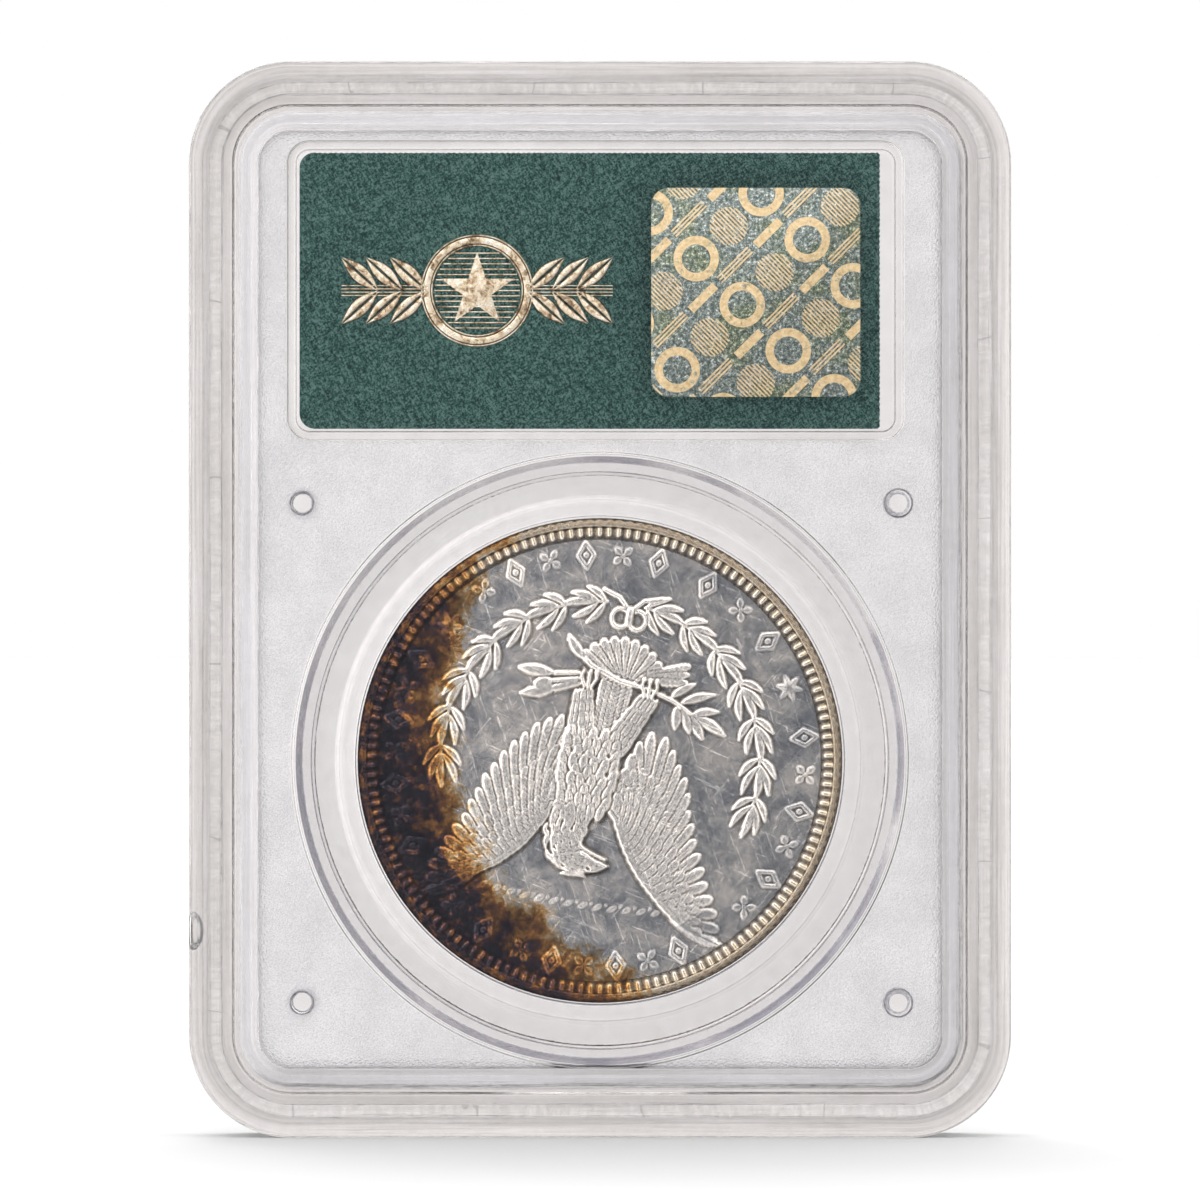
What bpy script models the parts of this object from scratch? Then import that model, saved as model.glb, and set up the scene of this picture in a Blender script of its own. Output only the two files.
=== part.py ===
"""Graded coin slab: two welded clear half shells round a coin, its centring ring and a label card.

The slab stands upright on its bottom edge. Its rear face looks towards -Y, its front face
towards +Y, and +X is to the right when the rear face is seen. The origin is the middle of
the bottom edge. A "depth" below is a distance from the parting plane y = 0 outwards.
"""

import math

import bmesh
import bpy

MM = 0.001

# Clearances
REST_GAP = 0.3 * MM
BOND_GAP = 0.05 * MM
COIN_BORE_CLEARANCE = 0.15 * MM

# Coin
COIN_DIAMETER = 38.1 * MM
COIN_THICKNESS = 2.4 * MM
COIN_RIM_WIDTH = 1.3 * MM
COIN_RIM_HEIGHT = 0.22 * MM
COIN_EDGE_BEVEL = 0.12 * MM

# Ring round the coin
RING_WIDTH = 4.7 * MM
RING_PROUD_OF_COIN = 0.4 * MM
RING_LIP_WIDTH = 1.3 * MM
RING_LIP_STEP = 0.2 * MM
RING_LIP_SLOPE = 0.3 * MM
RING_OUTER_CHAMFER = 0.5 * MM
RING_GROOVE_INSET = 1.2 * MM
RING_GROOVE_WIDTH = 0.3 * MM
RING_GROOVE_DEPTH = 0.25 * MM

# Label card and its foil
CARD_WIDTH = 45.6 * MM
CARD_HEIGHT = 21.7 * MM
CARD_THICKNESS = 0.3 * MM
CARD_CORNER = 1.2 * MM
CARD_CUT_CORNER = 0.1 * MM
FOIL_WIDTH = 21.3 * MM
FOIL_HEIGHT = 8.85 * MM
FOIL_THICKNESS = 0.06 * MM
FOIL_RING_WIDTH = 0.95 * MM
FOIL_STEM_WIDTH = 0.9 * MM
FOIL_STAR_GAP = 0.45 * MM
FOIL_LEAF_LENGTH = 3.9 * MM
FOIL_LEAF_WIDTH = 1.35 * MM
FOIL_LEAF_ANGLE = math.radians(42)
FOIL_LEAF_PAIRS = 3
FOIL_FROM_CARD_LEFT = 3.3 * MM

# Label pocket
POCKET_WALL = 0.6 * MM
POCKET_PLAY_X = 0.9 * MM
POCKET_PLAY_Z = 0.25 * MM
POCKET_CORNER = 1.7 * MM
POCKET_OFFSET_X = -0.35 * MM

# Security sticker
STICKER_SIDE = 16.4 * MM
STICKER_CORNER = 1.4 * MM
STICKER_THICKNESS = 0.1 * MM
STICKER_FROM_POCKET_RIGHT = 3.4 * MM
STICKER_FROM_POCKET_TOP = 3.7 * MM

# Case, measured across the coin
RING_SIDE_MARGIN = 3.3 * MM
RING_BOTTOM_MARGIN = 0.6 * MM
WEB_HEIGHT = 1.3 * MM
POCKET_TOP_MARGIN = 1.2 * MM
POCKET_SIDE_MARGIN = 2.7 * MM
RIM_WIDTH = 5.0 * MM
CASE_CORNER = 8.0 * MM

# Case, measured through the thickness
CASE_THICKNESS = 8.0 * MM
RING_SEAT_DEPTH = 0.8 * MM
PANEL_RECESS = 0.8 * MM
LEDGE_RECESS = 0.4 * MM
LEDGE_WIDTH = 1.1 * MM
STEP_SLOPE = 0.6 * MM
PANEL_SLOPE = 0.4 * MM
EDGE_ROUNDING = 0.5 * MM
SEAM_CHAMFER = 0.1 * MM

# Weld bead on the rear shell and its groove in the front shell
BEAD_INSET = 2.0 * MM
BEAD_WIDTH = 0.8 * MM
BEAD_SHOULDER = 0.6 * MM
BEAD_HEIGHT = 0.9 * MM

# Locating posts and their sockets
POST_RADIUS = 0.83 * MM
SOCKET_DEPTH = 0.7 * MM
POST_FROM_CAVITY_SIDE = 3.8 * MM
POST_FROM_CAVITY_BOTTOM = 5.5 * MM
POST_BELOW_WEB = 3.7 * MM

# Fineness of round shapes
CORNER_STEPS = 8
ROUNDING_STEPS = 3
COIN_STEPS = 120
POST_STEPS = 24
FOIL_RING_STEPS = 48
LEAF_STEPS = 6
STAR_POINTS = 5
SHARP_ANGLE = math.radians(30)

# Sizes that follow
COIN_RADIUS = COIN_DIAMETER / 2
BORE_RADIUS = COIN_RADIUS + COIN_BORE_CLEARANCE
RING_RADIUS = BORE_RADIUS + RING_WIDTH
RING_THICKNESS = COIN_THICKNESS + 2 * RING_PROUD_OF_COIN
POCKET_INNER_WIDTH = CARD_WIDTH + 2 * REST_GAP + POCKET_PLAY_X
POCKET_INNER_HEIGHT = CARD_HEIGHT + 2 * POCKET_PLAY_Z
POCKET_OUTER_WIDTH = POCKET_INNER_WIDTH + 2 * POCKET_WALL
POCKET_OUTER_HEIGHT = POCKET_INNER_HEIGHT + 2 * POCKET_WALL
CAVITY_WIDTH = max(
    2 * (RING_RADIUS + RING_SIDE_MARGIN),
    POCKET_OUTER_WIDTH + 2 * (POCKET_SIDE_MARGIN + abs(POCKET_OFFSET_X)),
)
CAVITY_HEIGHT = RING_BOTTOM_MARGIN + 2 * RING_RADIUS + WEB_HEIGHT + POCKET_OUTER_HEIGHT + POCKET_TOP_MARGIN
CASE_WIDTH = CAVITY_WIDTH + 2 * RIM_WIDTH
CASE_HEIGHT = CAVITY_HEIGHT + 2 * RIM_WIDTH

RING_CENTRE_Z = RIM_WIDTH + RING_BOTTOM_MARGIN + RING_RADIUS
POCKET_LOW_Z = RING_CENTRE_Z + RING_RADIUS + WEB_HEIGHT
POCKET_LEFT_X = POCKET_OFFSET_X - POCKET_OUTER_WIDTH / 2
CARD_LEFT_X = POCKET_LEFT_X + POCKET_WALL + REST_GAP
CARD_LOW_Z = POCKET_LOW_Z + POCKET_WALL + POCKET_PLAY_Z

RIM_DEPTH = CASE_THICKNESS / 2
PANEL_DEPTH = RIM_DEPTH - PANEL_RECESS
LEDGE_DEPTH = RIM_DEPTH - LEDGE_RECESS
WINDOW_DEPTH = RING_THICKNESS / 2 + REST_GAP
FROSTED_DEPTH = WINDOW_DEPTH - RING_SEAT_DEPTH
SEAM_DEPTH = REST_GAP / 2
POCKET_FLOOR_DEPTH = CARD_THICKNESS / 2 + REST_GAP
SOCKET_FLOOR_DEPTH = FROSTED_DEPTH + SOCKET_DEPTH
RING_SEAT_RADIUS = RING_RADIUS + REST_GAP
SOCKET_RADIUS = POST_RADIUS + REST_GAP

REAR = -1
FRONT = 1


def clear_scene():
    for existing in list(bpy.data.objects):
        bpy.data.objects.remove(existing)


def make_material(name, colour, roughness, metallic=0.0, transmission=0.0):
    material = bpy.data.materials.new(name)
    material.use_nodes = True
    shader = material.node_tree.nodes["Principled BSDF"]
    shader.inputs["Base Color"].default_value = (*colour, 1.0)
    shader.inputs["Roughness"].default_value = roughness
    shader.inputs["Metallic"].default_value = metallic
    shader.inputs["Transmission Weight"].default_value = transmission
    return material


def shade(mesh):
    """Smooth shading with sharp edges wherever two faces meet at more than SHARP_ANGLE."""
    mesh.shade_smooth()
    mesh.set_sharp_from_angle(angle=SHARP_ANGLE)


def make_object(name, bm, material=None, location=(0, 0, 0)):
    """Writes the bmesh to a smooth-shaded object, with its faces pointing out."""
    bmesh.ops.recalc_face_normals(bm, faces=bm.faces)
    mesh = bpy.data.meshes.new(name)
    bm.to_mesh(mesh)
    bm.free()
    shade(mesh)
    if material:
        mesh.materials.append(material)
    obj = bpy.data.objects.new(name, mesh)
    obj.location = location
    bpy.context.scene.collection.objects.link(obj)
    return obj


def rounded_rectangle(x_low, x_high, z_low, z_high, radii):
    """Outline points of a rectangle; radii are its lower right, upper right, upper left, lower left."""
    corners = (
        (x_high, z_low, 1, -1),
        (x_high, z_high, 1, 1),
        (x_low, z_high, -1, 1),
        (x_low, z_low, -1, -1),
    )
    points = []
    for turn, ((x, z, side_x, side_z), radius) in enumerate(zip(corners, radii)):
        for step in range(CORNER_STEPS + 1):
            angle = math.pi / 2 * (turn - 1 + step / CORNER_STEPS)
            centre_x = x - side_x * radius
            centre_z = z - side_z * radius
            points.append((centre_x + radius * math.cos(angle), centre_z + radius * math.sin(angle)))
    return points


def circle(radius, steps, x=0.0, z=0.0):
    angles = [2 * math.pi * step / steps for step in range(steps)]
    return [(x + radius * math.cos(angle), z + radius * math.sin(angle)) for angle in angles]


def loft(layers, closed=False):
    """Joins outlines of equal length, each given as (points, y); the ends are capped unless closed."""
    bm = bmesh.new()
    loops = [[bm.verts.new((x, y, z)) for x, z in points] for points, y in layers]
    following = loops[1:] + loops[:1] if closed else loops[1:]
    for loop, after in zip(loops, following):
        count = len(loop)
        for index in range(count):
            ahead = (index + 1) % count
            bm.faces.new((loop[index], loop[ahead], after[ahead], after[index]))
    if not closed:
        bm.faces.new(loops[0])
        bm.faces.new(loops[-1])
    return bm


def prism(name, points, y_low, y_high, material=None, location=(0, 0, 0)):
    return make_object(name, loft([(points, y_low), (points, y_high)]), material, location)


def combine(body, tools, operation):
    """Applies each tool to the body with a Boolean, then removes the tool."""
    for tool in tools:
        tool.hide_render = True
        tool.display_type = "WIRE"
        modifier = body.modifiers.new(tool.name, "BOOLEAN")
        modifier.operation = operation
        modifier.solver = "EXACT"
        modifier.object = tool
        bpy.context.view_layer.update()
        evaluated = body.evaluated_get(bpy.context.evaluated_depsgraph_get())
        mesh = bpy.data.meshes.new_from_object(evaluated)
        body.modifiers.remove(modifier)
        body.data = mesh
        bpy.data.objects.remove(tool)
    body.data.name = body.name
    shade(body.data)


def case_outline(inset):
    half_width = CASE_WIDTH / 2 - inset
    radius = CASE_CORNER - inset
    return rounded_rectangle(-half_width, half_width, inset, CASE_HEIGHT - inset, [radius] * 4)


def pocket_outline(inset):
    """The label pocket's outer wall, moved inwards by inset."""
    return rounded_rectangle(
        POCKET_LEFT_X + inset,
        POCKET_LEFT_X + POCKET_OUTER_WIDTH - inset,
        POCKET_LOW_Z + inset,
        POCKET_LOW_Z + POCKET_OUTER_HEIGHT - inset,
        [POCKET_CORNER - inset] * 4,
    )


def outer_profile():
    """The side and outer face of a half shell, as (inset, depth) from the seam to the panel."""
    profile = [(SEAM_CHAMFER, SEAM_DEPTH), (0.0, SEAM_DEPTH + SEAM_CHAMFER)]
    for step in range(ROUNDING_STEPS + 1):
        angle = math.pi / 2 * step / ROUNDING_STEPS
        inset = EDGE_ROUNDING * (1 - math.cos(angle))
        depth = RIM_DEPTH - EDGE_ROUNDING * (1 - math.sin(angle))
        profile.append((inset, depth))
    ledge_outer = RIM_WIDTH - LEDGE_WIDTH
    profile.append((ledge_outer - STEP_SLOPE, RIM_DEPTH))
    profile.append((ledge_outer, LEDGE_DEPTH))
    profile.append((RIM_WIDTH, LEDGE_DEPTH))
    profile.append((RIM_WIDTH + PANEL_SLOPE, PANEL_DEPTH))
    return profile


def bead_profile():
    """The weld bead, which stands across the seam and ends in a ridge."""
    half = BEAD_WIDTH / 2
    return [
        (BEAD_INSET + half, SEAM_DEPTH),
        (BEAD_INSET + half, SEAM_DEPTH - BEAD_SHOULDER),
        (BEAD_INSET, SEAM_DEPTH - BEAD_HEIGHT),
        (BEAD_INSET - half, SEAM_DEPTH - BEAD_SHOULDER),
        (BEAD_INSET - half, SEAM_DEPTH),
    ]


def groove_profile():
    """The groove that takes the weld bead with a clearance on every side."""
    half = BEAD_WIDTH / 2 + REST_GAP
    floor = BEAD_HEIGHT - SEAM_DEPTH + REST_GAP
    return [
        (BEAD_INSET + half, SEAM_DEPTH),
        (BEAD_INSET + half, floor),
        (BEAD_INSET - half, floor),
        (BEAD_INSET - half, SEAM_DEPTH),
    ]


def post_places():
    """(x, z) of the posts, as the left pair and the right pair."""
    reach = CAVITY_WIDTH / 2 - POST_FROM_CAVITY_SIDE
    heights = (RIM_WIDTH + POST_FROM_CAVITY_BOTTOM, POCKET_LOW_Z - WEB_HEIGHT - POST_BELOW_WEB)
    return [(-reach, z) for z in heights], [(reach, z) for z in heights]


def make_shell(name, side, joint, material):
    """A half shell: its rim, panel and cavity, before the pocket, ring seat, posts and sockets."""
    profile = [(RIM_WIDTH, FROSTED_DEPTH), (RIM_WIDTH, SEAM_DEPTH), *joint, *outer_profile()]
    layers = [(case_outline(inset), side * depth) for inset, depth in profile]
    return make_object(name, loft(layers), material)


def add_shell_details(shell, side, post_pair, socket_pair):
    """Cuts the ring seat and sockets into a half shell, and stands its posts on it."""
    seat = prism(
        "ring_seat",
        circle(RING_SEAT_RADIUS, COIN_STEPS, z=RING_CENTRE_Z),
        side * WINDOW_DEPTH,
        side * SEAM_DEPTH,
    )
    sockets = [
        prism(
            "socket",
            circle(SOCKET_RADIUS, POST_STEPS, x, z),
            side * SOCKET_FLOOR_DEPTH,
            side * SEAM_DEPTH,
        )
        for x, z in socket_pair
    ]
    combine(shell, [seat, *sockets], "DIFFERENCE")
    post_root = (FROSTED_DEPTH + PANEL_DEPTH) / 2
    post_tip = SOCKET_FLOOR_DEPTH - REST_GAP
    posts = [
        prism("post", circle(POST_RADIUS, POST_STEPS, x, z), side * post_root, -side * post_tip)
        for x, z in post_pair
    ]
    combine(shell, posts, "UNION")


def make_rear_shell(material):
    """The half shell with the weld bead, the label pocket's wall and the left posts."""
    shell = make_shell("rear_shell", REAR, bead_profile(), material)
    wall_tip = POCKET_FLOOR_DEPTH - REST_GAP
    boss_root = (FROSTED_DEPTH + PANEL_DEPTH) / 2
    wall = prism("pocket_wall", pocket_outline(0.0), REAR * boss_root, -REAR * wall_tip)
    hollow = prism(
        "pocket_hollow",
        pocket_outline(POCKET_WALL),
        REAR * POCKET_FLOOR_DEPTH,
        -REAR * RIM_DEPTH,
    )
    combine(wall, [hollow], "DIFFERENCE")
    combine(shell, [wall], "UNION")
    left, right = post_places()
    add_shell_details(shell, REAR, left, right)
    return shell


def make_front_shell(material):
    """The half shell with the weld groove, the label window's boss and the right posts."""
    shell = make_shell("front_shell", FRONT, groove_profile(), material)
    boss_root = (FROSTED_DEPTH + PANEL_DEPTH) / 2
    boss = prism("label_boss", pocket_outline(0.0), FRONT * boss_root, FRONT * POCKET_FLOOR_DEPTH)
    combine(shell, [boss], "UNION")
    left, right = post_places()
    add_shell_details(shell, FRONT, right, left)
    return shell


def make_coin_ring(material):
    """A turned ring with a stepped inner lip, a fine groove and a chamfered outer edge on each face."""
    face = RING_THICKNESS / 2
    lip_face = face - RING_LIP_STEP
    groove_outer = RING_RADIUS - RING_GROOVE_INSET
    groove_inner = groove_outer - RING_GROOVE_WIDTH
    lip_outer = BORE_RADIUS + RING_LIP_WIDTH
    half = [
        (BORE_RADIUS, lip_face),
        (lip_outer, lip_face),
        (lip_outer + RING_LIP_SLOPE, face),
        (groove_inner, face),
        ((groove_inner + groove_outer) / 2, face - RING_GROOVE_DEPTH),
        (groove_outer, face),
        (RING_RADIUS - RING_OUTER_CHAMFER, face),
        (RING_RADIUS, face - RING_OUTER_CHAMFER),
    ]
    profile = [(radius, -y) for radius, y in half] + half[::-1]
    layers = [(circle(radius, COIN_STEPS), y) for radius, y in profile]
    return make_object("coin_ring", loft(layers, closed=True), material, (0, 0, RING_CENTRE_Z))


def make_coin(material):
    """A struck disc with a raised rim on both faces; its origin is on its own axis."""
    face = COIN_THICKNESS / 2
    field = face - COIN_RIM_HEIGHT
    half = [
        (COIN_RADIUS - COIN_RIM_WIDTH - COIN_RIM_HEIGHT, field),
        (COIN_RADIUS - COIN_RIM_WIDTH, face),
        (COIN_RADIUS - COIN_EDGE_BEVEL, face),
        (COIN_RADIUS, face - COIN_EDGE_BEVEL),
    ]
    profile = [(radius, -y) for radius, y in half] + half[::-1]
    layers = [(circle(radius, COIN_STEPS), y) for radius, y in profile]
    return make_object("coin", loft(layers), material, (0, 0, RING_CENTRE_Z))


def make_label_card(material, parent):
    """The card: rounded corners at its left end and cut corners at its right end."""
    corners = [CARD_CUT_CORNER, CARD_CUT_CORNER, CARD_CORNER, CARD_CORNER]
    outline = rounded_rectangle(0, CARD_WIDTH, 0, CARD_HEIGHT, corners)
    card = prism("label_card", outline, -CARD_THICKNESS / 2, CARD_THICKNESS / 2, material)
    card.parent = parent
    return card


def leaf_outline(x, z, angle):
    """A pointed leaf that starts at (x, z)."""
    upper = []
    for step in range(1, LEAF_STEPS):
        along = step / LEAF_STEPS
        upper.append((FOIL_LEAF_LENGTH * along, FOIL_LEAF_WIDTH / 2 * math.sin(math.pi * along)))
    lower = [(along, -across) for along, across in upper]
    leaf = [(0.0, 0.0), *lower, (FOIL_LEAF_LENGTH, 0.0), *upper[::-1]]
    cosine = math.cos(angle)
    sine = math.sin(angle)
    return [
        (x + along * cosine - across * sine, z + along * sine + across * cosine) for along, across in leaf
    ]


def star_outline(radius, x, z):
    inner = radius * math.sin(math.pi / 10) / math.sin(math.pi * 7 / 10)
    points = []
    for step in range(2 * STAR_POINTS):
        reach = inner if step % 2 else radius
        angle = math.pi / 2 + math.pi * step / STAR_POINTS
        points.append((x + reach * math.cos(angle), z + reach * math.sin(angle)))
    return points


def make_foil_emblem(material, parent):
    """A plain star in a ring between two leafy sprigs, all joined by one stem."""
    y_near = -CARD_THICKNESS / 2 - BOND_GAP
    y_far = y_near - FOIL_THICKNESS
    centre_x = FOIL_FROM_CARD_LEFT + FOIL_WIDTH / 2
    centre_z = CARD_HEIGHT / 2
    ring_radius = FOIL_HEIGHT / 2
    hole_radius = ring_radius - FOIL_RING_WIDTH

    ring = circle(ring_radius, FOIL_RING_STEPS, centre_x, centre_z)
    emblem = prism("foil_emblem", ring, y_far, y_near, material)
    hole = circle(hole_radius, FOIL_RING_STEPS, centre_x, centre_z)
    combine(emblem, [prism("hole", hole, y_far - REST_GAP, y_near + REST_GAP)], "DIFFERENCE")

    half_stem = FOIL_STEM_WIDTH / 2
    half_width = FOIL_WIDTH / 2
    stem = [
        (centre_x - half_width, centre_z - half_stem),
        (centre_x + half_width, centre_z - half_stem),
        (centre_x + half_width, centre_z + half_stem),
        (centre_x - half_width, centre_z + half_stem),
    ]
    tools = [prism("stem", stem, y_far, y_near)]
    star = star_outline(hole_radius - FOIL_STAR_GAP, centre_x, centre_z)
    tools.append(prism("star", star, y_far, y_near))
    leaf_reach = FOIL_LEAF_LENGTH * math.cos(FOIL_LEAF_ANGLE)
    first = ring_radius - FOIL_RING_WIDTH / 2
    spacing = (half_width - leaf_reach - first) / (FOIL_LEAF_PAIRS - 1)
    for pair in range(FOIL_LEAF_PAIRS):
        for side in (-1, 1):
            for lean in (-1, 1):
                angle = lean * FOIL_LEAF_ANGLE if side > 0 else math.pi - lean * FOIL_LEAF_ANGLE
                base_x = centre_x + side * (first + pair * spacing)
                tools.append(prism("leaf", leaf_outline(base_x, centre_z, angle), y_far, y_near))
    combine(emblem, tools, "UNION")
    emblem.parent = parent
    return emblem


def make_security_sticker(material):
    """A square sticker with round corners on the outside of the rear shell's panel."""
    right = POCKET_LEFT_X + POCKET_OUTER_WIDTH - STICKER_FROM_POCKET_RIGHT
    top = POCKET_LOW_Z + POCKET_OUTER_HEIGHT - STICKER_FROM_POCKET_TOP
    outline = rounded_rectangle(right - STICKER_SIDE, right, top - STICKER_SIDE, top, [STICKER_CORNER] * 4)
    inner_depth = PANEL_DEPTH + BOND_GAP
    outer_depth = inner_depth + STICKER_THICKNESS
    return prism("security_sticker", outline, REAR * outer_depth, REAR * inner_depth, material)


def make_slab():
    clear = make_material("clear_polystyrene", (0.93, 0.94, 0.95), 0.06, transmission=0.9)
    ring_plastic = make_material("ring_plastic", (0.92, 0.92, 0.94), 0.1, transmission=0.9)
    silver = make_material("toned_silver", (0.62, 0.61, 0.6), 0.2, metallic=1.0)
    green_card = make_material("green_card", (0.04, 0.13, 0.11), 0.85)
    gold_foil = make_material("gold_foil", (0.78, 0.66, 0.46), 0.25, metallic=1.0)
    hologram = make_material("hologram_film", (0.5, 0.55, 0.52), 0.3, metallic=0.8)

    label_slide = bpy.data.objects.new("label_slide", None)
    label_slide.location = (CARD_LEFT_X, 0, CARD_LOW_Z)
    bpy.context.scene.collection.objects.link(label_slide)

    make_rear_shell(clear)
    make_front_shell(clear)
    make_coin_ring(ring_plastic)
    make_coin(silver)
    make_label_card(green_card, label_slide)
    make_foil_emblem(gold_foil, label_slide)
    make_security_sticker(hologram)


clear_scene()
make_slab()
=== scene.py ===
"""Looks of the graded coin slab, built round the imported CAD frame.

The rear face looks towards -Y and +X is to its right. A "depth" is a distance from the
parting plane y = 0 outwards, and an "inset" is a distance inwards from a piece's outline.
"""

import math

import bmesh
import bpy
import numpy as np
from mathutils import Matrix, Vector


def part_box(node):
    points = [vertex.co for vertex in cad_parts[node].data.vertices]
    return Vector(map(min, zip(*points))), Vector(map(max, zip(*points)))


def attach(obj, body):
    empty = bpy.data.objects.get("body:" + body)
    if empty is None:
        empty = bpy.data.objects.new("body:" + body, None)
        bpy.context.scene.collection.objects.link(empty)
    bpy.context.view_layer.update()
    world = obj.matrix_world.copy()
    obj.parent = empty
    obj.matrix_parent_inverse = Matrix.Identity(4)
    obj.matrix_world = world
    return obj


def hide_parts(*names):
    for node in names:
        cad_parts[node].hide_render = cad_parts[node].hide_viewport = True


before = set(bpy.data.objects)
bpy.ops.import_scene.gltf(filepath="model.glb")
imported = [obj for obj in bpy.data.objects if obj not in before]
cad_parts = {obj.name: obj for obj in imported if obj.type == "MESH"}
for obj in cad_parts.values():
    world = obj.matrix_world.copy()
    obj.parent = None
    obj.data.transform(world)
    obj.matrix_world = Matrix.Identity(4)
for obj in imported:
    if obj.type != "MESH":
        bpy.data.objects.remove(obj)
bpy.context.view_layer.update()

MM = 0.001
REAR = -1
FRONT = 1

# Places read from the frame
CASE_LOW, CASE_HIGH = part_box("rear_shell")
RING_LOW, RING_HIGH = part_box("coin_ring")
COIN_LOW, COIN_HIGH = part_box("coin")
CARD_LOW, CARD_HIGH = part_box("label_card")
FOIL_LOW, FOIL_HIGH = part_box("foil_emblem")
STICKER_LOW, STICKER_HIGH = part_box("security_sticker")
CASE_HALF_WIDTH = CASE_HIGH[0]
CASE_HEIGHT = CASE_HIGH[2]
RIM_DEPTH = -CASE_LOW[1]
RING_RADIUS = (RING_HIGH[0] - RING_LOW[0]) / 2
RING_FACE = RING_HIGH[1]
RING_CENTRE_Z = (RING_LOW[2] + RING_HIGH[2]) / 2
COIN_RADIUS = (COIN_HIGH[0] - COIN_LOW[0]) / 2
COIN_FACE = COIN_HIGH[1]

# Case, as in the CAD
REST_GAP = 0.3 * MM
CASE_CORNER = 8.0 * MM
RIM_WIDTH = 5.0 * MM
PANEL_DEPTH = 3.2 * MM
WINDOW_DEPTH = 1.9 * MM
FROSTED_DEPTH = 1.1 * MM
POCKET_WALL = 0.6 * MM
POCKET_PLAY_X = 0.9 * MM
POCKET_PLAY_Z = 0.25 * MM
POCKET_CORNER = 1.7 * MM
POCKET_FLOOR_DEPTH = 0.45 * MM
POST_RADIUS = 0.83 * MM
SOCKET_RADIUS = POST_RADIUS + REST_GAP
SOCKET_FLOOR_DEPTH = 1.8 * MM
POST_X = 23.4 * MM
POST_HEIGHTS = (10.5 * MM, 49.7 * MM)

# Fineness
CORNER_STEPS = 20
SIDE_STEPS = 150
ARC_STEPS = 5
ROUND_STEPS = 256
POST_STEPS = 40


# ---------------------------------------------------------------- outlines and meshes


def rounded_path(corners, closed=False):
    """Points of a path through (a, b, radius) corners, each rounded by an arc of its radius."""
    count = len(corners)
    points = []
    for index, (a, b, radius) in enumerate(corners):
        here = np.array((a, b))
        if radius <= 0 or (not closed and index in (0, count - 1)):
            points.append(here)
            continue
        before = np.array(corners[index - 1][:2]) - here
        after = np.array(corners[(index + 1) % count][:2]) - here
        before /= np.linalg.norm(before)
        after /= np.linalg.norm(after)
        half = math.acos(np.clip(before @ after, -1, 1)) / 2
        middle = (before + after) / np.linalg.norm(before + after)
        centre = here + middle * radius / math.sin(half)
        start = here + before * radius / math.tan(half) - centre
        end = here + after * radius / math.tan(half) - centre
        sweep = math.atan2(start[0] * end[1] - start[1] * end[0], start @ end)
        for step in range(ARC_STEPS + 1):
            turn = sweep * step / ARC_STEPS
            cosine, sine = math.cos(turn), math.sin(turn)
            arm = (start[0] * cosine - start[1] * sine, start[0] * sine + start[1] * cosine)
            points.append(centre + arm)
    return np.array(points)


def rectangle(x_low, x_high, z_low, z_high, radius):
    """A round-cornered rectangle, counter-clockwise seen from the rear, from its lower right corner."""
    corners = (
        (x_high, z_low, 1, -1),
        (x_high, z_high, 1, 1),
        (x_low, z_high, -1, 1),
        (x_low, z_low, -1, -1),
    )
    arcs = []
    for turn, (x, z, side_x, side_z) in enumerate(corners):
        angles = np.pi / 2 * (turn - 1 + np.arange(CORNER_STEPS + 1) / CORNER_STEPS)
        centre = np.array((x - side_x * radius, z - side_z * radius))
        arcs.append(centre + radius * np.stack([np.cos(angles), np.sin(angles)], 1))
    points = []
    for arc, following in zip(arcs, arcs[1:] + arcs[:1]):
        points.extend(arc)
        for step in range(1, SIDE_STEPS):
            share = step / SIDE_STEPS
            points.append(arc[-1] * (1 - share) + following[0] * share)
    return np.array(points)


def circle(radius, steps=ROUND_STEPS, x=0.0, z=0.0):
    angles = 2 * np.pi * np.arange(steps) / steps
    return np.stack([x + radius * np.cos(angles), z + radius * np.sin(angles)], 1)


def add_loop(bm, points, y):
    depths = np.broadcast_to(y, len(points))
    return [bm.verts.new((x, float(depth), z)) for (x, z), depth in zip(points, depths)]


def add_walls(bm, loops, slot=0, closed=False):
    """Bridges loops of equal length in turn."""
    pairs = zip(loops, loops[1:] + loops[:1]) if closed else zip(loops, loops[1:])
    for loop, after in pairs:
        for index in range(len(loop)):
            ahead = (index + 1) % len(loop)
            face = bm.faces.new((loop[index], loop[ahead], after[ahead], after[index]))
            face.material_index = slot


def add_loft(bm, layers, slot=0, cap_slot=None):
    """Lofts (points, y) layers; caps the last one if cap_slot is given. Returns the first loop."""
    loops = [add_loop(bm, points, y) for points, y in layers]
    add_walls(bm, loops, slot)
    if cap_slot is not None:
        bm.faces.new(loops[-1]).material_index = cap_slot
    return loops[0]


def add_plate(bm, loops, slot):
    """Fills the flat space between the first loop and the others with triangles."""
    edges = [
        bm.edges.get((loop[index - 1], vertex)) or bm.edges.new((loop[index - 1], vertex))
        for loop in loops
        for index, vertex in enumerate(loop)
    ]
    filled = bmesh.ops.triangle_fill(bm, use_beauty=True, edges=edges)
    for face in filled["geom"]:
        if isinstance(face, bmesh.types.BMFace):
            face.material_index = slot


def make_piece(name, bm, materials, sharp_degrees=30):
    bmesh.ops.recalc_face_normals(bm, faces=bm.faces)
    mesh = bpy.data.meshes.new(name)
    bm.to_mesh(mesh)
    bm.free()
    mesh.shade_smooth()
    mesh.set_sharp_from_angle(angle=math.radians(sharp_degrees))
    for material in materials:
        mesh.materials.append(material)
    piece = bpy.data.objects.new(name, mesh)
    bpy.context.scene.collection.objects.link(piece)
    return piece


# ---------------------------------------------------------------- material helpers


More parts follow.
